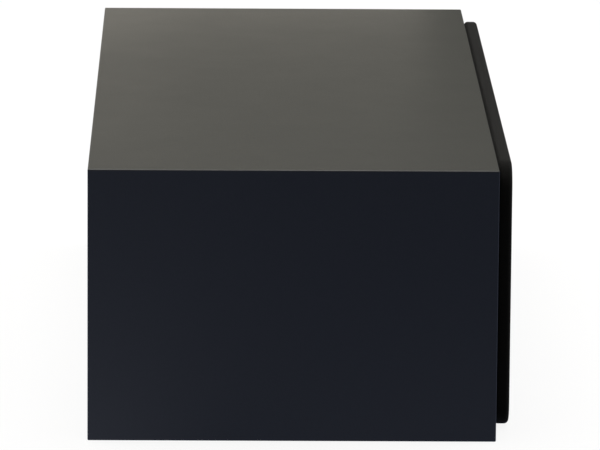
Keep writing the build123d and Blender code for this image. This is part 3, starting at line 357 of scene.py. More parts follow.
def glossy(name, colour):
    """A polished moulding with faint hand marks."""
    s = Surface(name, coat_weight=0.5, coat_roughness=0.08)
    place = s.place()
    marks = s.noise(place, scale=260.0, detail=4.0, roughness=0.7)
    flow = s.noise(place, scale=70.0)
    tint = s.blend(flow, colour, scaled(colour, 0.8))
    return s.finish(tint, 0.16 + 0.16 * marks, height=marks, depth=0.01 * MM)


FINISH = {
    "black_vinyl": vinyl("cabinet_vinyl", (0.0048, 0.0052, 0.0062), grain_depth=0.06 * MM),
    "black_baffle": vinyl("baffle_vinyl", (0.006, 0.0062, 0.0068), grain_depth=0.08 * MM),
    "raw_fibreboard": fibreboard(),
    "polyester_wadding": wadding(),
    "black_steel": moulded(
        "powder_coat", (0.012, 0.012, 0.013), roughness=0.42, texture=1100.0, depth=0.06 * MM
    ),
    "black_rubber": rubber("butyl_rubber", (0.011, 0.011, 0.0115)),
    "spider_cloth": woven(
        "dipped_cotton", (0.24, 0.14, 0.04), (0.52, 0.36, 0.15), pitch=1.1 * MM, coat=0.2
    ),
    "plated_steel": metal(
        "zinc_plate", (0.66, 0.64, 0.58), roughness=0.3, brushed=(120.0, 900.0, 120.0), tarnish=0.25
    ),
    "ferrite": ferrite(),
    "black_plastic": moulded(
        "moulded_black", (0.011, 0.011, 0.0115), roughness=0.46, texture=1500.0, depth=0.07 * MM
    ),
    "cone_black": cone_plastic(),
    "coil_former": metal(
        "rolled_aluminium",
        (0.78, 0.78, 0.8),
        roughness=0.3,
        brushed=(200.0, 1500.0, 200.0),
        tarnish=0.15,
    ),
    "dome_silk": woven(
        "coated_silk",
        (0.009, 0.009, 0.01),
        (0.03, 0.03, 0.033),
        pitch=0.5 * MM,
        coat=0.25,
        roughness=0.6,
    ),
    "tab_brass": metal(
        "tinned_tab", (0.78, 0.76, 0.7), roughness=0.28, brushed=(900.0, 200.0, 900.0), tarnish=0.3
    ),
    "grille_cloth": knitted_cloth(),
    "gold_brass": metal(
        "gold_plate", (1.0, 0.72, 0.3), roughness=0.16, brushed=(200.0, 1400.0, 200.0), tarnish=0.12
    ),
    "circuit_board": circuit_board(),
    "copper_coil": wound_copper(),
    "capacitor_film": yellow_film(),
    "cement_resistor": cement(),
    "red_insulation": rubber("red_insulation", (0.42, 0.018, 0.014), roughness=0.4),
    "black_insulation": rubber("black_insulation", (0.012, 0.012, 0.012), roughness=0.4),
    "red_plastic": glossy("red_moulding", (0.50, 0.012, 0.010)),
    "black_gloss": glossy("black_moulding", (0.010, 0.010, 0.011)),
}


def dress(mesh, slot):
    """Gives a mesh the finish of a slot and nothing else."""
    mesh.materials.clear()
    mesh.materials.append(FINISH[slot])


def dress_frame():
    """Gives every carried-over node the finish of its slot."""
    for part in frame["record"]["subparts"]:
        dress(NODES[part["node"]].data, part["material_slot"])


# ------------------------------------------------------------------ making pieces
def plain_mesh(name, points, faces, crease=35):
    """A smooth-shaded mesh with its faces turned outwards and its corners kept crisp."""
    mesh = bpy.data.meshes.new(name)
    mesh.from_pydata(points, [], faces)
    shape = bmesh.new()
    shape.from_mesh(mesh)
    bmesh.ops.recalc_face_normals(shape, faces=shape.faces)
    shape.to_mesh(mesh)
    shape.free()
    mesh.shade_smooth()
    mesh.set_sharp_from_angle(angle=radians(crease))
    return mesh


def added(name, data):
    """Puts a mesh, a lamp or a camera into the scene as an object."""
    thing = bpy.data.objects.new(name, data)
    bpy.context.scene.collection.objects.link(thing)
    return thing


def dressed(mesh, slot, *replaced):
    """Adds a mesh in the finish of its slot, in place of the CAD nodes that it stands for."""
    piece = added(mesh.name, mesh)
    dress(mesh, slot)
    if replaced:
        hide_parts(*replaced)
    return piece


def show(mesh, slot, body, *replaced):
    """Adds a dressed piece that rides on a body."""
    piece = dressed(mesh, slot, *replaced)
    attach(piece, body)
    return piece


def evaluated(mesh, modifier_kind, settings, named=None):
    """The plain mesh that one modifier makes of a mesh; named holds a node tree's own inputs."""
    name = mesh.name
    holder = added(name, mesh)
    modifier = holder.modifiers.new("make", modifier_kind)
    for key, value in settings.items():
        setattr(modifier, key, value)
    if named:
        for socket in modifier.node_group.interface.items_tree:
            if socket.name in named:
                modifier[socket.identifier] = named[socket.name]
    ready = holder.evaluated_get(bpy.context.evaluated_depsgraph_get())
    made = bpy.data.meshes.new_from_object(ready)
    bpy.data.objects.remove(holder)
    bpy.data.meshes.remove(mesh)
    made.name = name
    return made


def turned(profile, sides, middle=(0, 0, 0), closed=False):
    """Points and faces of (radius, depth) pairs turned about Y; depth runs rearwards from middle."""
    points, rings = [], []
    for radius, depth in profile:
        y = middle[1] + depth
        if radius == 0:
            rings.append([len(points)] * sides)
            points.append((middle[0], y, middle[2]))
        else:
            rings.append(range(len(points), len(points) + sides))
            for k in range(sides):
                angle = tau * (k + 0.5) / sides
                points.append((middle[0] + radius * cos(angle), y, middle[2] + radius * sin(angle)))
    pairs = list(zip(rings, rings[1:])) + ([(rings[-1], rings[0])] if closed else [])
    faces = []
    for near, far in pairs:
        for k in range(sides):
            n = (k + 1) % sides
            corners = dict.fromkeys((near[k], near[n], far[n], far[k]))
            faces.append(tuple(corners))
    return points, faces


class Tree:
    """A geometry node tree with named inputs."""

    def __init__(self, name, **inputs):
        self.group = bpy.data.node_groups.new(name, "GeometryNodeTree")
        sockets = self.group.interface
        for title, kind in {"Geometry": "NodeSocketGeometry", **inputs}.items():
            sockets.new_socket(title, in_out="INPUT", socket_type=kind)
        sockets.new_socket("Geometry", in_out="OUTPUT", socket_type="NodeSocketGeometry")
        self.given = self.group.nodes.new("NodeGroupInput").outputs
        self.result = self.group.nodes.new("NodeGroupOutput").inputs

    def node(self, kind, inputs=None, **settings):
        made = self.group.nodes.new(kind)
        for key, value in settings.items():
            setattr(made, key, value)
        for key, value in (inputs or {}).items():
            if isinstance(value, bpy.types.NodeSocket):
                self.group.links.new(value, made.inputs[key])
            else:
                made.inputs[key].default_value = value
        return made.outputs

    def finish(self, geometry):
        """Makes the instances real, sets their material and hands the result out."""
        real = self.node("GeometryNodeRealizeInstances", {0: geometry})[0]
        inputs = {0: real, "Material": self.given["Finish"]}
        done = self.node("GeometryNodeSetMaterial", inputs)[0]
        self.group.links.new(done, self.result[0])
        return self.group


def copies_tree():
    """Sets a copy of a shape on every point, turned as the point's own attribute says."""
    t = Tree("copies", Shape="NodeSocketObject", Size="NodeSocketFloat", Finish="NodeSocketMaterial")
    shape = t.node("GeometryNodeObjectInfo", {"Object": t.given["Shape"]})["Geometry"]
    turn = t.node("GeometryNodeInputNamedAttribute", {"Name": "turn"}, data_type="FLOAT_VECTOR")[0]
    inputs = {
        "Points": t.given["Geometry"],
        "Instance": shape,
        "Rotation": turn,
        "Scale": t.given["Size"],
    }
    return t.finish(t.node("GeometryNodeInstanceOnPoints", inputs)["Instances"])


COPIES = copies_tree()


def repeated(name, shape, places, slot, size=1.0):
    """One mesh of a shape set at each place: its point and its turn about X, Y and Z."""
    seeds = bpy.data.meshes.new(name)
    seeds.from_pydata([point for point, _ in places], [], [])
    turns = seeds.attributes.new("turn", "FLOAT_VECTOR", "POINT")
    for item, (_, turn) in zip(turns.data, places):
        item.vector = turn
    pattern = added(name + "_shape", shape)
    named = {"Shape": pattern, "Size": size, "Finish": FINISH[slot]}
    made = evaluated(seeds, "NODES", {"node_group": COPIES}, named)
    bpy.data.objects.remove(pattern)
    return made


def islands(node):
    """The low and high corners of each separate solid of a CAD node, in order of their places."""
    mesh = NODES[node].data
    joined = list(range(len(mesh.vertices)))

    def root(k):
        while joined[k] != k:
            joined[k] = joined[joined[k]]
            k = joined[k]
        return k

    seen = {}
    for vertex in mesh.vertices:
        spot = tuple(round(c, 6) for c in vertex.co)
        joined[vertex.index] = seen.setdefault(spot, vertex.index)
    for edge in mesh.edges:
        joined[root(edge.vertices[0])] = root(edge.vertices[1])
    groups = {}
    for vertex in mesh.vertices:
        groups.setdefault(root(vertex.index), []).append(vertex.co)
    boxes = []
    for points in groups.values():
        boxes.append([Vector(end(p[i] for p in points) for i in range(3)) for end in (min, max)])
    return sorted(boxes, key=lambda box: tuple(round(c, 4) for c in box[0]))


# ------------------------------------------------------------------ grille cloth
GRILLE_CORNER = 16 * MM
FRONT_ROUND = 2.8 * MM
BACK_ROUND = 2.2 * MM
TURNED_IN = (3.5 * MM, 5 * MM, 6.5 * MM, 8 * MM, 10 * MM)
CLOTH_THICKNESS = 0.45 * MM
CLOTH_STEP = 5 * MM
CORNER_STEPS = 8
FRONT_STEPS = 6
BACK_STEPS = 4
CLOTH_SAG = 0.3 * MM
PLEAT_HEIGHT = 0.3 * MM
PLEATS = 5
STRAIGHT = 0.01
FRAME_BAR = 14 * MM
FRAME_RIBS = (-214 * MM, -60.5 * MM, 60.5 * MM, 214 * MM)
FRAME_RIB_HALF = 4 * MM

HALF_X = (CLOTH_HIGH.x - CLOTH_LOW.x) / 2
HALF_Z = (CLOTH_HIGH.z - CLOTH_LOW.z) / 2
CORE_X = HALF_X - GRILLE_CORNER
CORE_Z = HALF_Z - GRILLE_CORNER
FLAT_CORNER = GRILLE_CORNER - FRONT_ROUND


def cloth_lines(core):
    """Grid lines across the flat front, closer together where the corners turn."""
    count = round(2 * core / CLOTH_STEP)
    lines = [-core + 2 * core * k / count for k in range(count + 1)]
    ends = [core + FLAT_CORNER * k / CORNER_STEPS for k in range(1, CORNER_STEPS + 1)]
    return [-x for x in reversed(ends)] + lines + ends


def cloth_sag(x, z):
    """How far the cloth gives inwards over the frame's openings."""
    half_x = HALF_X - FRAME_BAR
    half_z = HALF_Z - FRAME_BAR
    if abs(x) >= half_x or abs(z) >= half_z:
        return 0
    starts = [-half_x, *[rib + FRAME_RIB_HALF for rib in FRAME_RIBS]]
    ends = [*[rib - FRAME_RIB_HALF for rib in FRAME_RIBS], half_x]
    for start, end in zip(starts, ends):
        if start < x < end:
            across = 1 - (2 * (x - start) / (end - start) - 1) ** 4
            return CLOTH_SAG * across * (1 - (z / half_z) ** 4)
    return 0


def drawn_in(x, z):
    """A grid point of the flat front, drawn into its round corner."""
    p = max(abs(x) - CORE_X, 0) / FLAT_CORNER
    q = max(abs(z) - CORE_Z, 0) / FLAT_CORNER
    if not (p and q):
        return x, z
    x_in = CORE_X + FLAT_CORNER * p * sqrt(1 - q * q / 2)
    z_in = CORE_Z + FLAT_CORNER * q * sqrt(1 - p * p / 2)
    return copysign(x_in, x), copysign(z_in, z)


def cloth_front():
    """The flat front: its points, where each lies in the knit, its faces and its rim."""
    xs, zs = cloth_lines(CORE_X), cloth_lines(CORE_Z)
    knit = [drawn_in(x, z) for x, z in product(xs, zs)]
    points = [(x, CLOTH_LOW.y + cloth_sag(x, z), AXIS_Z + z) for x, z in knit]
    rows, columns = len(xs), len(zs)
    faces = []
    for i, j in product(range(rows - 1), range(columns - 1)):
        k = i * columns + j
        faces.append((k, k + columns, k + columns + 1, k + 1))
    bottom = [i * columns for i in range(rows)]
    right = [(rows - 1) * columns + j for j in range(1, columns)]
    top = [i * columns + columns - 1 for i in range(rows - 2, -1, -1)]
    left = list(range(columns - 2, 0, -1))
    return points, knit, faces, bottom + right + top + left


def edge_steps():
    """The way round the edge, as distance in from the outline, Y and the cloth taken so far."""
    steps = []
    for k in range(1, FRONT_STEPS + 1):
        turn = pi / 2 * k / FRONT_STEPS
        y = CLOTH_LOW.y + FRONT_ROUND * (1 - cos(turn))
        steps.append((FRONT_ROUND * (1 - sin(turn)), y, FRONT_ROUND * turn))
    taken = FRONT_ROUND * pi / 2 + CLOTH_HIGH.y - CLOTH_LOW.y - FRONT_ROUND - BACK_ROUND
    steps.append((0, CLOTH_HIGH.y - BACK_ROUND, taken))
    for k in range(1, BACK_STEPS + 1):
        turn = pi / 2 * k / BACK_STEPS
        y = CLOTH_HIGH.y - BACK_ROUND * (1 - sin(turn))
        steps.append((BACK_ROUND * (1 - cos(turn)), y, taken + BACK_ROUND * turn))
    taken += BACK_ROUND * pi / 2
    return steps + [(inset, CLOTH_HIGH.y, taken + inset - BACK_ROUND) for inset in TURNED_IN]


def pleat(out, inset):
    """How far the turned-in cloth stands off where it is gathered behind a round corner."""
    if min(abs(out.x), abs(out.y)) <= STRAIGHT or inset <= BACK_ROUND:
        return 0
    share = atan2(abs(out.y), abs(out.x)) / (pi / 2)
    height = PLEAT_HEIGHT * (inset - BACK_ROUND) / (TURNED_IN[-1] - BACK_ROUND)
    return height * (0.5 - 0.5 * cos(tau * PLEATS * share))


def wrap_edge(points, knit, faces, rim):
    """Carries the cloth on from its rim, round the edge and in behind; returns what that takes."""
    previous = rim
    for inset, y, taken in edge_steps():
        ring = []
        for k in rim:
            x, z = knit[k]
            core = Vector((max(-CORE_X, min(CORE_X, x)), max(-CORE_Z, min(CORE_Z, z))))
            out = (Vector((x, z)) - core).normalized()
            at = core + out * (GRILLE_CORNER - inset)
            ring.append(len(points))
            points.append((at.x, y + pleat(out, inset), AXIS_Z + at.y))
            knit.append(tuple(core + out * (FLAT_CORNER + taken)))
        for k in range(len(rim)):
            n = (k + 1) % len(rim)
            faces.append((previous[n], previous[k], ring[k], ring[n]))
        previous = ring
    return taken


def grille_cloth():
    """The knit, stretched over the frame's front, round its edge and pleated in behind its corners."""
    points, knit, faces, rim = cloth_front()
    taken = wrap_edge(points, knit, faces, rim)
    mesh = bpy.data.meshes.new("knitted_cover")
    mesh.from_pydata(points, [], faces)
    mesh.shade_smooth()
    layer = mesh.uv_layers.new(name="knit")
    for loop in mesh.loops:
        layer.data[loop.index].uv = knit[loop.vertex_index]
    reach = 2 * (taken - FRONT_ROUND)
    flat = (2 * HALF_X + reach, 2 * HALF_Z + reach)
    wall = {"thickness": CLOTH_THICKNESS, "offset": -1, "use_even_offset": True}
    cloth = show(evaluated(mesh, "SOLIDIFY", wall), "grille_cloth", "grille", "grille_cloth")


# ------------------------------------------------------------------ screws
HEAD_SIDES = 12
HEAD_RADIUS = 2.9 * MM
HEAD_HEIGHT = 2 * MM
HEAD_CROWN = ((2.2 * MM, 0.05 * MM), (2.65 * MM, 0.35 * MM), (HEAD_RADIUS, 0.9 * MM))
SHANK_RADIUS = 1.5 * MM
SHANK_LENGTH = 15 * MM
POINT_RADIUS = 0.3 * MM
POINT_LENGTH = 1.5 * MM
RECESS_HALF_WIDTH = 0.42 * MM
RECESS_REACH = 1.75 * MM
RECESS_DEPTH = 1.15 * MM
RECESS_FLOOR = 0.35
RECESS_LIP = 0.1 * MM
SCREW_TURN = 37


def screw_shape():
    """A pan head with a cross recess, looking along +Z, and its shank behind it."""
    blade = atan2(RECESS_HALF_WIDTH, RECESS_REACH)
    angles = [quarter * pi / 2 + a for quarter in range(4) for a in (blade, pi / 4, pi / 2 - blade)]
    inner = RECESS_HALF_WIDTH * sqrt(2)
    tip = sqrt(RECESS_REACH**2 + RECESS_HALF_WIDTH**2)
    cross = [inner if k % 3 == 1 else tip for k in range(HEAD_SIDES)]
    recess = [
        ([r * RECESS_FLOOR for r in cross], HEAD_HEIGHT - RECESS_DEPTH),
        (cross, HEAD_HEIGHT - RECESS_LIP),
        ([r + RECESS_LIP for r in cross], HEAD_HEIGHT),
    ]
    outside = [(radius, HEAD_HEIGHT - drop) for radius, drop in HEAD_CROWN]
    outside += [(HEAD_RADIUS, 0), (SHANK_RADIUS, 0)]
    outside += [(SHANK_RADIUS, POINT_LENGTH - SHANK_LENGTH), (POINT_RADIUS, -SHANK_LENGTH)]
    rings = recess + [([radius] * HEAD_SIDES, z) for radius, z in outside]
    points = [(r * cos(a), r * sin(a), z) for radii, z in rings for r, a in zip(radii, angles)]
    last = len(points) - HEAD_SIDES
    faces = [tuple(range(HEAD_SIDES)), tuple(range(last, len(points)))]
    for start in range(0, last, HEAD_SIDES):
        above = start + HEAD_SIDES
        for k in range(HEAD_SIDES):
            n = (k + 1) % HEAD_SIDES
            faces.append((start + k, start + n, above + n, above + k))
    return plain_mesh("screw", points, faces, crease=40)


def fasteners():
    """The screws of the drivers and the terminal cup, each stopped at its own angle."""
    places = []
    for k, (low, high) in enumerate(islands("wood_screws")):
        middle = (low + high) / 2
        twist = radians(SCREW_TURN * k % 90)
        if middle.y < 0:
            places.append(((middle.x, low.y + HEAD_HEIGHT, middle.z), (pi / 2, twist, 0)))
        else:
            places.append(((middle.x, high.y - HEAD_HEIGHT, middle.z), (-pi / 2, twist, 0)))
    made = repeated("cross_recess_screws", screw_shape(), places, "black_steel")
    show(made, "black_steel", "cabinet", "wood_screws")


# ------------------------------------------------------------------ pegs
PEG_SIDES = 16
PEG_ROOT = 0.62
PEG_CHAMFER = 0.3 * MM
PEG_COLLAR = 0.4
PEG_RIBS = 3
PEG_RIBS_FROM = 0.42
PEG_RIB_PITCH = 0.15
PEG_RIB_HEIGHT = 0.7 * MM
PEG_RIB_START = 0.5 * MM
PEG_RIB_END = 1.3 * MM
PEG_NOSE = ((0.7, 0.4 * MM), (0.5, 0), (0, 0))


def pegs():
    """The grille's push-in pegs, each with soft ribs between its collar and its nose."""
    boxes = islands("grille_pegs")
    low, high = boxes[0]
    radius = (high.x - low.x) / 2
    length = high.y - low.y
    waist = radius - PEG_RIB_HEIGHT
    profile = [(0, 0), (radius * PEG_ROOT, 0), (radius, PEG_CHAMFER), (radius, length * PEG_COLLAR)]
    for k in range(PEG_RIBS):
        start = length * (PEG_RIBS_FROM + PEG_RIB_PITCH * k)
        profile += [(waist, start), (waist, start + PEG_RIB_START), (radius, start + PEG_RIB_END)]
    profile += [(radius * share, length - back) for share, back in PEG_NOSE]
    shape = plain_mesh("peg", *turned(profile, PEG_SIDES))
    places = [(((a.x + b.x) / 2, a.y, (a.z + b.z) / 2), (0, 0, 0)) for a, b in boxes]
    made = repeated("ribbed_pegs", shape, places, "black_plastic")
    show(made, "black_plastic", "grille", "grille_pegs")


# ------------------------------------------------------------------ cones
CONE_SIDES = 96
CONE_STEPS = 96
CONE_OUTER = 48 * MM
CONE_RIM = 45.5 * MM
CONE_NECK = 13.25 * MM
CONE_DEPTH = 17 * MM
CONE_WALL = 0.9 * MM
NECK_LENGTH = 3 * MM
RIBS_FROM = 29 * MM
RIBS_TO = 43 * MM
RIB_PITCH = 2 * MM
RIB_HEIGHT = 0.28 * MM


def ribbed_cone(name):
    """A moulded cone with shallow pressed rings on its outer half."""
    low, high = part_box(f"{name}_woofer_cone")
    front = []
    for k in range(CONE_STEPS + 1):
        r = CONE_RIM + (CONE_NECK - CONE_RIM) * k / CONE_STEPS
        h = (CONE_RIM - r) * CONE_DEPTH / (CONE_RIM - CONE_NECK)
        ribbed = RIBS_FROM < r < RIBS_TO
        lift = RIB_HEIGHT * (0.5 - 0.5 * cos(tau * (r - RIBS_FROM) / RIB_PITCH)) if ribbed else 0
        front.append((r, h - lift))
    neck_end = CONE_DEPTH + NECK_LENGTH
    profile = [(CONE_OUTER, 0), *front, (CONE_NECK, neck_end), (CONE_NECK + CONE_WALL, neck_end)]
    profile += [(CONE_NECK + CONE_WALL, CONE_DEPTH + CONE_WALL)]
    profile += [(CONE_RIM, CONE_WALL), (CONE_OUTER, CONE_WALL)]
    middle = ((low.x + high.x) / 2, low.y, AXIS_Z)
    points, faces = turned(profile, CONE_SIDES, middle, closed=True)
    cone = plain_mesh(f"{name}_ribbed_cone", points, faces, crease=60)
    show(cone, "cone_black", f"{name}_cone_assembly", f"{name}_woofer_cone")


# ------------------------------------------------------------------ suspensions
RING_SIDES = 96
ROLL_STEPS = 16
SURROUND = {
    "inner": 45.5 * MM,
    "centre": 52.25 * MM,
    "bow": 3.95 * MM,
    "outer": 59.5 * MM,
    "thickness": 0.6 * MM,
}
DOME_ROLL = {
    "inner": 12.4 * MM,
    "centre": 14.6 * MM,
    "bow": 1.8 * MM,
    "outer": 20 * MM,
    "thickness": 0.4 * MM,
}
SPIDER_THICKNESS = 0.5 * MM
SPIDER_INNER = 13.25 * MM
SPIDER_OUTER = 41 * MM
WAVES_FROM = 14.45 * MM
WAVES_TO = 36.5 * MM
WAVE_COUNT = 8
WAVE_HEIGHT = 1.2 * MM
WAVE_STEPS = 6


def roll_section(inner, centre, bow, outer, thickness):
    """A half-roll as (radius, depth) pairs from its seat: a lip, a roll that bulges forwards, a lip."""
    outside = bow + thickness
    lap = asin(thickness / outside)
    turns = [k / ROLL_STEPS for k in range(ROLL_STEPS + 1)]
    back = [(centre - bow * cos(pi * t), -bow * sin(pi * t)) for t in turns]
    angles = [lap + (pi - 2 * lap) * t for t in turns]
    front = [(centre + outside * cos(a), -outside * sin(a)) for a in angles]
    return [(inner, 0), *back, (outer, 0), (outer, -thickness), *front, (inner, -thickness)]


def spider_section():
    """The pressed cloth damper as (radius, depth) pairs from its ledge."""
    pitch = (WAVES_TO - WAVES_FROM) / WAVE_COUNT
    bend = (pitch * pitch / 4 + WAVE_HEIGHT * WAVE_HEIGHT) / (2 * WAVE_HEIGHT)
    reach = atan2(pitch / 2, bend - WAVE_HEIGHT)
    line = [(SPIDER_INNER, 0)]
    for wave in range(WAVE_COUNT):
        crest = WAVES_FROM + (wave + 0.5) * pitch
        side = 1 if wave % 2 else -1
        for k in range(WAVE_STEPS):
            turn = reach * (2 * k / WAVE_STEPS - 1)
            depth = side * (bend * cos(turn) - bend + WAVE_HEIGHT)
            line.append((crest + bend * sin(turn), depth))
    line += [(WAVES_TO, 0), (SPIDER_OUTER, 0)]
    return line + [(radius, depth + SPIDER_THICKNESS) for radius, depth in reversed(line)]


def flexing_ring(name, section, seat_y, slot, node, inner, outer):
    """A ring turned from a section about the middle of a CAD node, in that node's place. Each point's
    share of the way between the two radii is worked out and not used.
    """
    low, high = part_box(node)
    middle = Vector(((low.x + high.x) / 2, seat_y, AXIS_Z))
    points, faces = turned(section, RING_SIDES, middle, closed=True)
    ring = dressed(plain_mesh(name, points, faces, crease=50), slot, node)
    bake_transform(ring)
    for vertex in ring.data.vertices:
        radius = (vertex.co - middle).xz.length
        share = max(0, min(1, (radius - inner) / (outer - inner)))
        share * share * (3 - 2 * share)


def flexing_roll(name, shape, slot, node):
    """A half-roll between its two glued lips."""
    seat_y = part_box(node)[1].y
    inner = shape["centre"] - shape["bow"]
    outer = shape["centre"] + shape["bow"]
    flexing_ring(name, roll_section(**shape), seat_y, slot, node, inner, outer)


def flexing_spider(name, node):
    """A pressed cloth damper between its collar and its ledge."""
    seat_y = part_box(node)[1].y - WAVE_HEIGHT - SPIDER_THICKNESS
    section = spider_section()
    flexing_ring(name, section, seat_y, "spider_cloth", node, WAVES_FROM, WAVES_TO)


def suspensions():
    """Surrounds and spiders of both woofers, and the roll round the tweeter's dome."""
    for name, _ in SIDES:
        roll, node = f"{name}_surround_roll", f"{name}_woofer_surround"
        flexing_roll(roll, SURROUND, "black_rubber", node)
        flexing_spider(f"{name}_spider_waves", f"{name}_woofer_spider")
    flexing_roll("dome_roll", DOME_ROLL, "dome_silk", "tweeter_surround")


# ------------------------------------------------------------------ wadding
MAT_STEP = 4 * MM
MAT_SHOULDER = 16 * MM
MAT_EDGE = 0.45
MAT_ROUNDING = 0.8
TUFT_SIZE = 26 * MM
TUFT_LIFT = 2.2 * MM
FIBRE_SIZE = 7 * MM
FIBRE_LIFT = 0.6 * MM


def wadding_loft(side, y, z, low, high):
    """How far a mat stands off its wall: crowned and tufted, and thin at its cut edge."""
    edge = min(y - low.y, high.y - y, z - low.z, high.z - z)
    rise = sin(pi / 2 * min(edge / MAT_SHOULDER, 1)) ** MAT_ROUNDING
    tuft = TUFT_LIFT * noise.noise(Vector((side, y, z)) / TUFT_SIZE)
    fibre = FIBRE_LIFT * noise.noise(Vector((side, y, z)) / FIBRE_SIZE)
    even = (high.x - low.x) * (MAT_EDGE + (1 - MAT_EDGE) * rise) - TUFT_LIFT
    return even + (tuft + fibre) * rise


def wadding_mat(name, side):
    """A lofty polyester mat, flat where it is glued to the end panel."""
    low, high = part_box(f"{name}_damping_mat")
    wall = high.x if side > 0 else low.x
    columns = round((high.y - low.y) / MAT_STEP)
    rows = round((high.z - low.z) / MAT_STEP)
    inner, back = [], []
    for i, j in product(range(columns + 1), range(rows + 1)):
        y = low.y + (high.y - low.y) * i / columns
        z = low.z + (high.z - low.z) * j / rows
        inner.append((wall - side * wadding_loft(side, y, z, low, high), y, z))
        back.append((wall, y, z))
    total = len(inner)
    width = rows + 1
    faces = []
    for i, j in product(range(columns), range(rows)):
        k = i * width + j
        quad = (k, k + 1, k + width + 1, k + width)
        faces += [quad, tuple(total + corner for corner in reversed(quad))]
    rim = [i * width for i in range(columns)] + [columns * width + j for j in range(rows)]
    rim += [i * width + rows for i in range(columns, 0, -1)] + list(range(rows, 0, -1))
    for k, n in zip(rim, rim[1:] + rim[:1]):
        faces.append((k, n, total + n, total + k))
    mat = plain_mesh(f"{name}_wadding_mat", inner + back, faces, crease=50)
    piece = show(mat, "polyester_wadding", "cabinet", f"{name}_damping_mat")


# ------------------------------------------------------------------ polarity marks
MARK_HALF = 2.6 * MM
MARK_BAR = 0.55 * MM
MARK_RISE = 0.35 * MM
MARK_SINK = 0.2 * MM
MARK_STEP = 0.02 * MM
MARK_OFFSET = 14 * MM
BUSH_STAND = 2.5 * MM


def bar(x0, x1, z0, z1, y0, y1):
    points = [(x, y, z) for x in (x0, x1) for y in (y0, y1) for z in (z0, z1)]
    faces = [(0, 1, 3, 2), (4, 6, 7, 5), (0, 4, 5, 1), (2, 3, 7, 6), (0, 2, 6, 4), (1, 5, 7, 3)]
    return points, faces


def polarity_marks():
    """A raised plus and minus on the cup's floor, outside the posts."""
    floor_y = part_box("post_bushes")[1].y - BUSH_STAND
    y0, y1 = floor_y - MARK_SINK, floor_y + MARK_RISE
    for name in ("positive", "negative"):
        low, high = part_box(f"{name}_cap_ring")
        x = (low.x + high.x) / 2
        x += copysign(MARK_OFFSET, x)
        level = (x - MARK_HALF, x + MARK_HALF, AXIS_Z - MARK_BAR, AXIS_Z + MARK_BAR)
        points, faces = bar(*level, y0, y1)
        if name == "positive":
            upright = (x - MARK_BAR, x + MARK_BAR, AXIS_Z - MARK_HALF, AXIS_Z + MARK_HALF)
            more, extra = bar(*upright, y0, y1 + MARK_STEP)
            faces += [tuple(k + len(points) for k in face) for face in extra]
            points += more
        show(plain_mesh(f"{name}_mark", points, faces), "black_plastic", "cabinet")


# ------------------------------------------------------------------ camera
CAMERA_PLACE = Vector((-3.83788, 0.05066, 0.87066))
CAMERA_LENS = 357.81
CAMERA_SENSOR = 36
CAMERA_REACH = 100
CAMERA_PITCH = 11.719
CAMERA_HEADING = 0.884
CAMERA_ROLL = 0.434


def set_camera():
    """A long lens that looks along the cabinet at its left end, from a little above."""
    data = bpy.data.cameras.new("camera")
    data.lens = CAMERA_LENS
    data.sensor_width = CAMERA_SENSOR
    data.clip_end = CAMERA_REACH
    camera = added("camera", data)
    camera.location = CAMERA_PLACE
    turn = Matrix.Rotation(radians(-90 - CAMERA_HEADING), 4, "Z")
    tilt = Matrix.Rotation(radians(90 - CAMERA_PITCH), 4, "X")
    roll = Matrix.Rotation(radians(CAMERA_ROLL), 4, "Z")
    camera.rotation_euler = (turn @ tilt @ roll).to_euler()
    bpy.context.scene.camera = camera


# ------------------------------------------------------------------ lamps
# The two fills stay out of mirror images: at a low angle the satin top would show them as white.
WARM_CARD = (1.0, 0.93, 0.82)
SOFTBOXES = {
    "overhead": {
        "place": (0.3, 0.2, 2.6),
        "target": (0, 0, 0),
        "size": (2.4, 2.4),
        "power": 70,
        "colour": (1.0, 0.98, 0.95),
    },
    "far_card": {
        "place": (0.56, 0.238, 0.215),
        "target": (0.1, 0.22, 0.17),
        "size": (0.7, 0.09),
        "power": 0.13,
        "colour": WARM_CARD,
    },
    "rear_card": {
        "place": (0.80, 0.43, 0.30),
        "target": (0.1, 0.22, 0.1),
        "size": (0.7, 0.25),
        "power": 0.14,
        "colour": WARM_CARD,
    },
    "front_fill": {
        "place": (0.4, -2.6, 1.3),
        "target": (0, 0, 0.1),
        "size": (1.6, 1.6),
        "power": 42,
        "mirrored": False,
    },
    "rear_fill": {
        "place": (0.4, 2.6, 1.5),
        "target": (0, 0, 0.1),
        "size": (1.6, 1.6),
        "power": 26,
        "mirrored": False,
    },
}


def add_softbox(name, place, target, size, power, colour=(1, 1, 1), mirrored=True):
    """A rectangular soft light aimed at a point."""
    data = bpy.data.lights.new(name, "AREA")
    data.shape = "RECTANGLE"
    data.size, data.size_y = size
    data.energy = power
    data.color = colour
    lamp = added(name, data)
    lamp.location = place
    lamp.rotation_euler = (Vector(target) - Vector(place)).to_track_quat("-Z", "Y").to_euler()
    lamp.visible_camera = False
    lamp.visible_glossy = mirrored


# ------------------------------------------------------------------ floor and room
WHITE = (1, 1, 1)
FLOOR_REACH = 12.0
FLOOR_DARK = (0.22, 0.22, 0.22)
FLOOR_COLOUR = (0.26, 0.26, 0.26)
FLOOR_PALE = (0.86, 0.86, 0.86)
FLOOR_GLOW = 0.88
FLOOR_MIRRORED = (0.085, 0.130, 0.280)
FLOOR_MIRRORED_NEAR = (0.56, 0.63, 0.86)
FLOOR_FADE = (-0.95, -0.32)
FLOOR_FADE_ASIDE = (0.02, 0.15)
CLOSE_SHARE = 0.42
ASIDE_SHARE = 0.26
CLOSE_ASIDE_SHARE = 0.32
ROOM_COLOUR = (0.35, 0.345, 0.33)
ROOM_MIRRORED = (0.31, 0.315, 0.325)
ROOM_MIRRORED_FAR = (0.31, 0.305, 0.25)
ROOM_FADE = (0.2, 0.9)


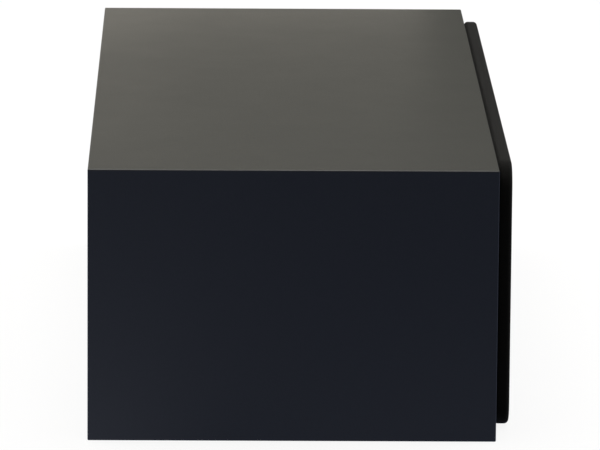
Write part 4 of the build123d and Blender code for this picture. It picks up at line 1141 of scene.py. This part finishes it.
def floor_finish():
    """A floor that is white behind the object, keeps its soft shadow and reflects as a blue-grey."""
    s = Surface("floor_paint", roughness=0.9, specular_ior_level=0.0)
    place = s.place()
    mottle = s.noise(place, scale=0.8)
    camera = s.seen_by({"Camera": 1.0})
    s.finish(s.blend(camera, s.blend(mottle, FLOOR_DARK, FLOOR_COLOUR), FLOOR_PALE))
    x, y, _ = s.axes(place)
    close = x.ramp(*FLOOR_FADE)
    aside = y.ramp(*FLOOR_FADE_ASIDE)
    near = CLOSE_SHARE * close + aside * (ASIDE_SHARE + CLOSE_ASIDE_SHARE * close)
    tone = s.blend(near, FLOOR_MIRRORED, FLOOR_MIRRORED_NEAR)
    glow = s.node("ShaderNodeEmission", inputs={"Color": s.blend(camera, tone, WHITE)})
    share = s.seen_by({"Camera": FLOOR_GLOW, "Transmission": FLOOR_GLOW, "Glossy": 1.0})
    paint = Value(s, s.shader.outputs[0])
    mixed = s.node("ShaderNodeMixShader", inputs={0: share, 1: paint, 2: glow})
    s.tree.links.new(mixed.socket, s.output.inputs[0])
    return s.material


def add_floor():
    """The floor that the object stands on."""
    corners = [(x * FLOOR_REACH, y * FLOOR_REACH, 0) for x, y in ((-1, -1), (1, -1), (1, 1), (-1, 1))]
    mesh = bpy.data.meshes.new("floor")
    mesh.from_pydata(corners, [], [(0, 1, 2, 3)])
    mesh.materials.append(floor_finish())
    floor = added("floor", mesh)


def add_room():
    """A room that is white to the camera and mirrored as pale grey, warmer towards the far end."""
    world = bpy.data.worlds.new("room")
    room = Shading(world, "ShaderNodeOutputWorld")
    mirror_rays = room.seen_by({"Glossy": 1.0})
    clear_rays = room.seen_by({"Camera": 1.0, "Transmission": 1.0})
    along, _, _ = room.axes(room.node("ShaderNodeTexCoord", output="Generated"))
    mirrored = room.blend(along.ramp(*ROOM_FADE), ROOM_MIRRORED, ROOM_MIRRORED_FAR)
    tone = room.blend(clear_rays, room.blend(mirror_rays, ROOM_COLOUR, mirrored), WHITE)
    light = room.node("ShaderNodeBackground", inputs={"Color": tone})
    room.tree.links.new(light.socket, room.output.inputs[0])
    bpy.context.scene.world = world


# ------------------------------------------------------------------ the object and its stage
grille_cloth()
fasteners()
pegs()
for name, side in SIDES:
    ribbed_cone(name)
    wadding_mat(name, side)
suspensions()
polarity_marks()
dress_frame()
set_camera()
add_floor()
add_room()
for name, settings in SOFTBOXES.items():
    add_softbox(name, **settings)

# ------------------------------------------------------------------ view transform
scene = bpy.context.scene
scene.view_settings.view_transform = "Standard"
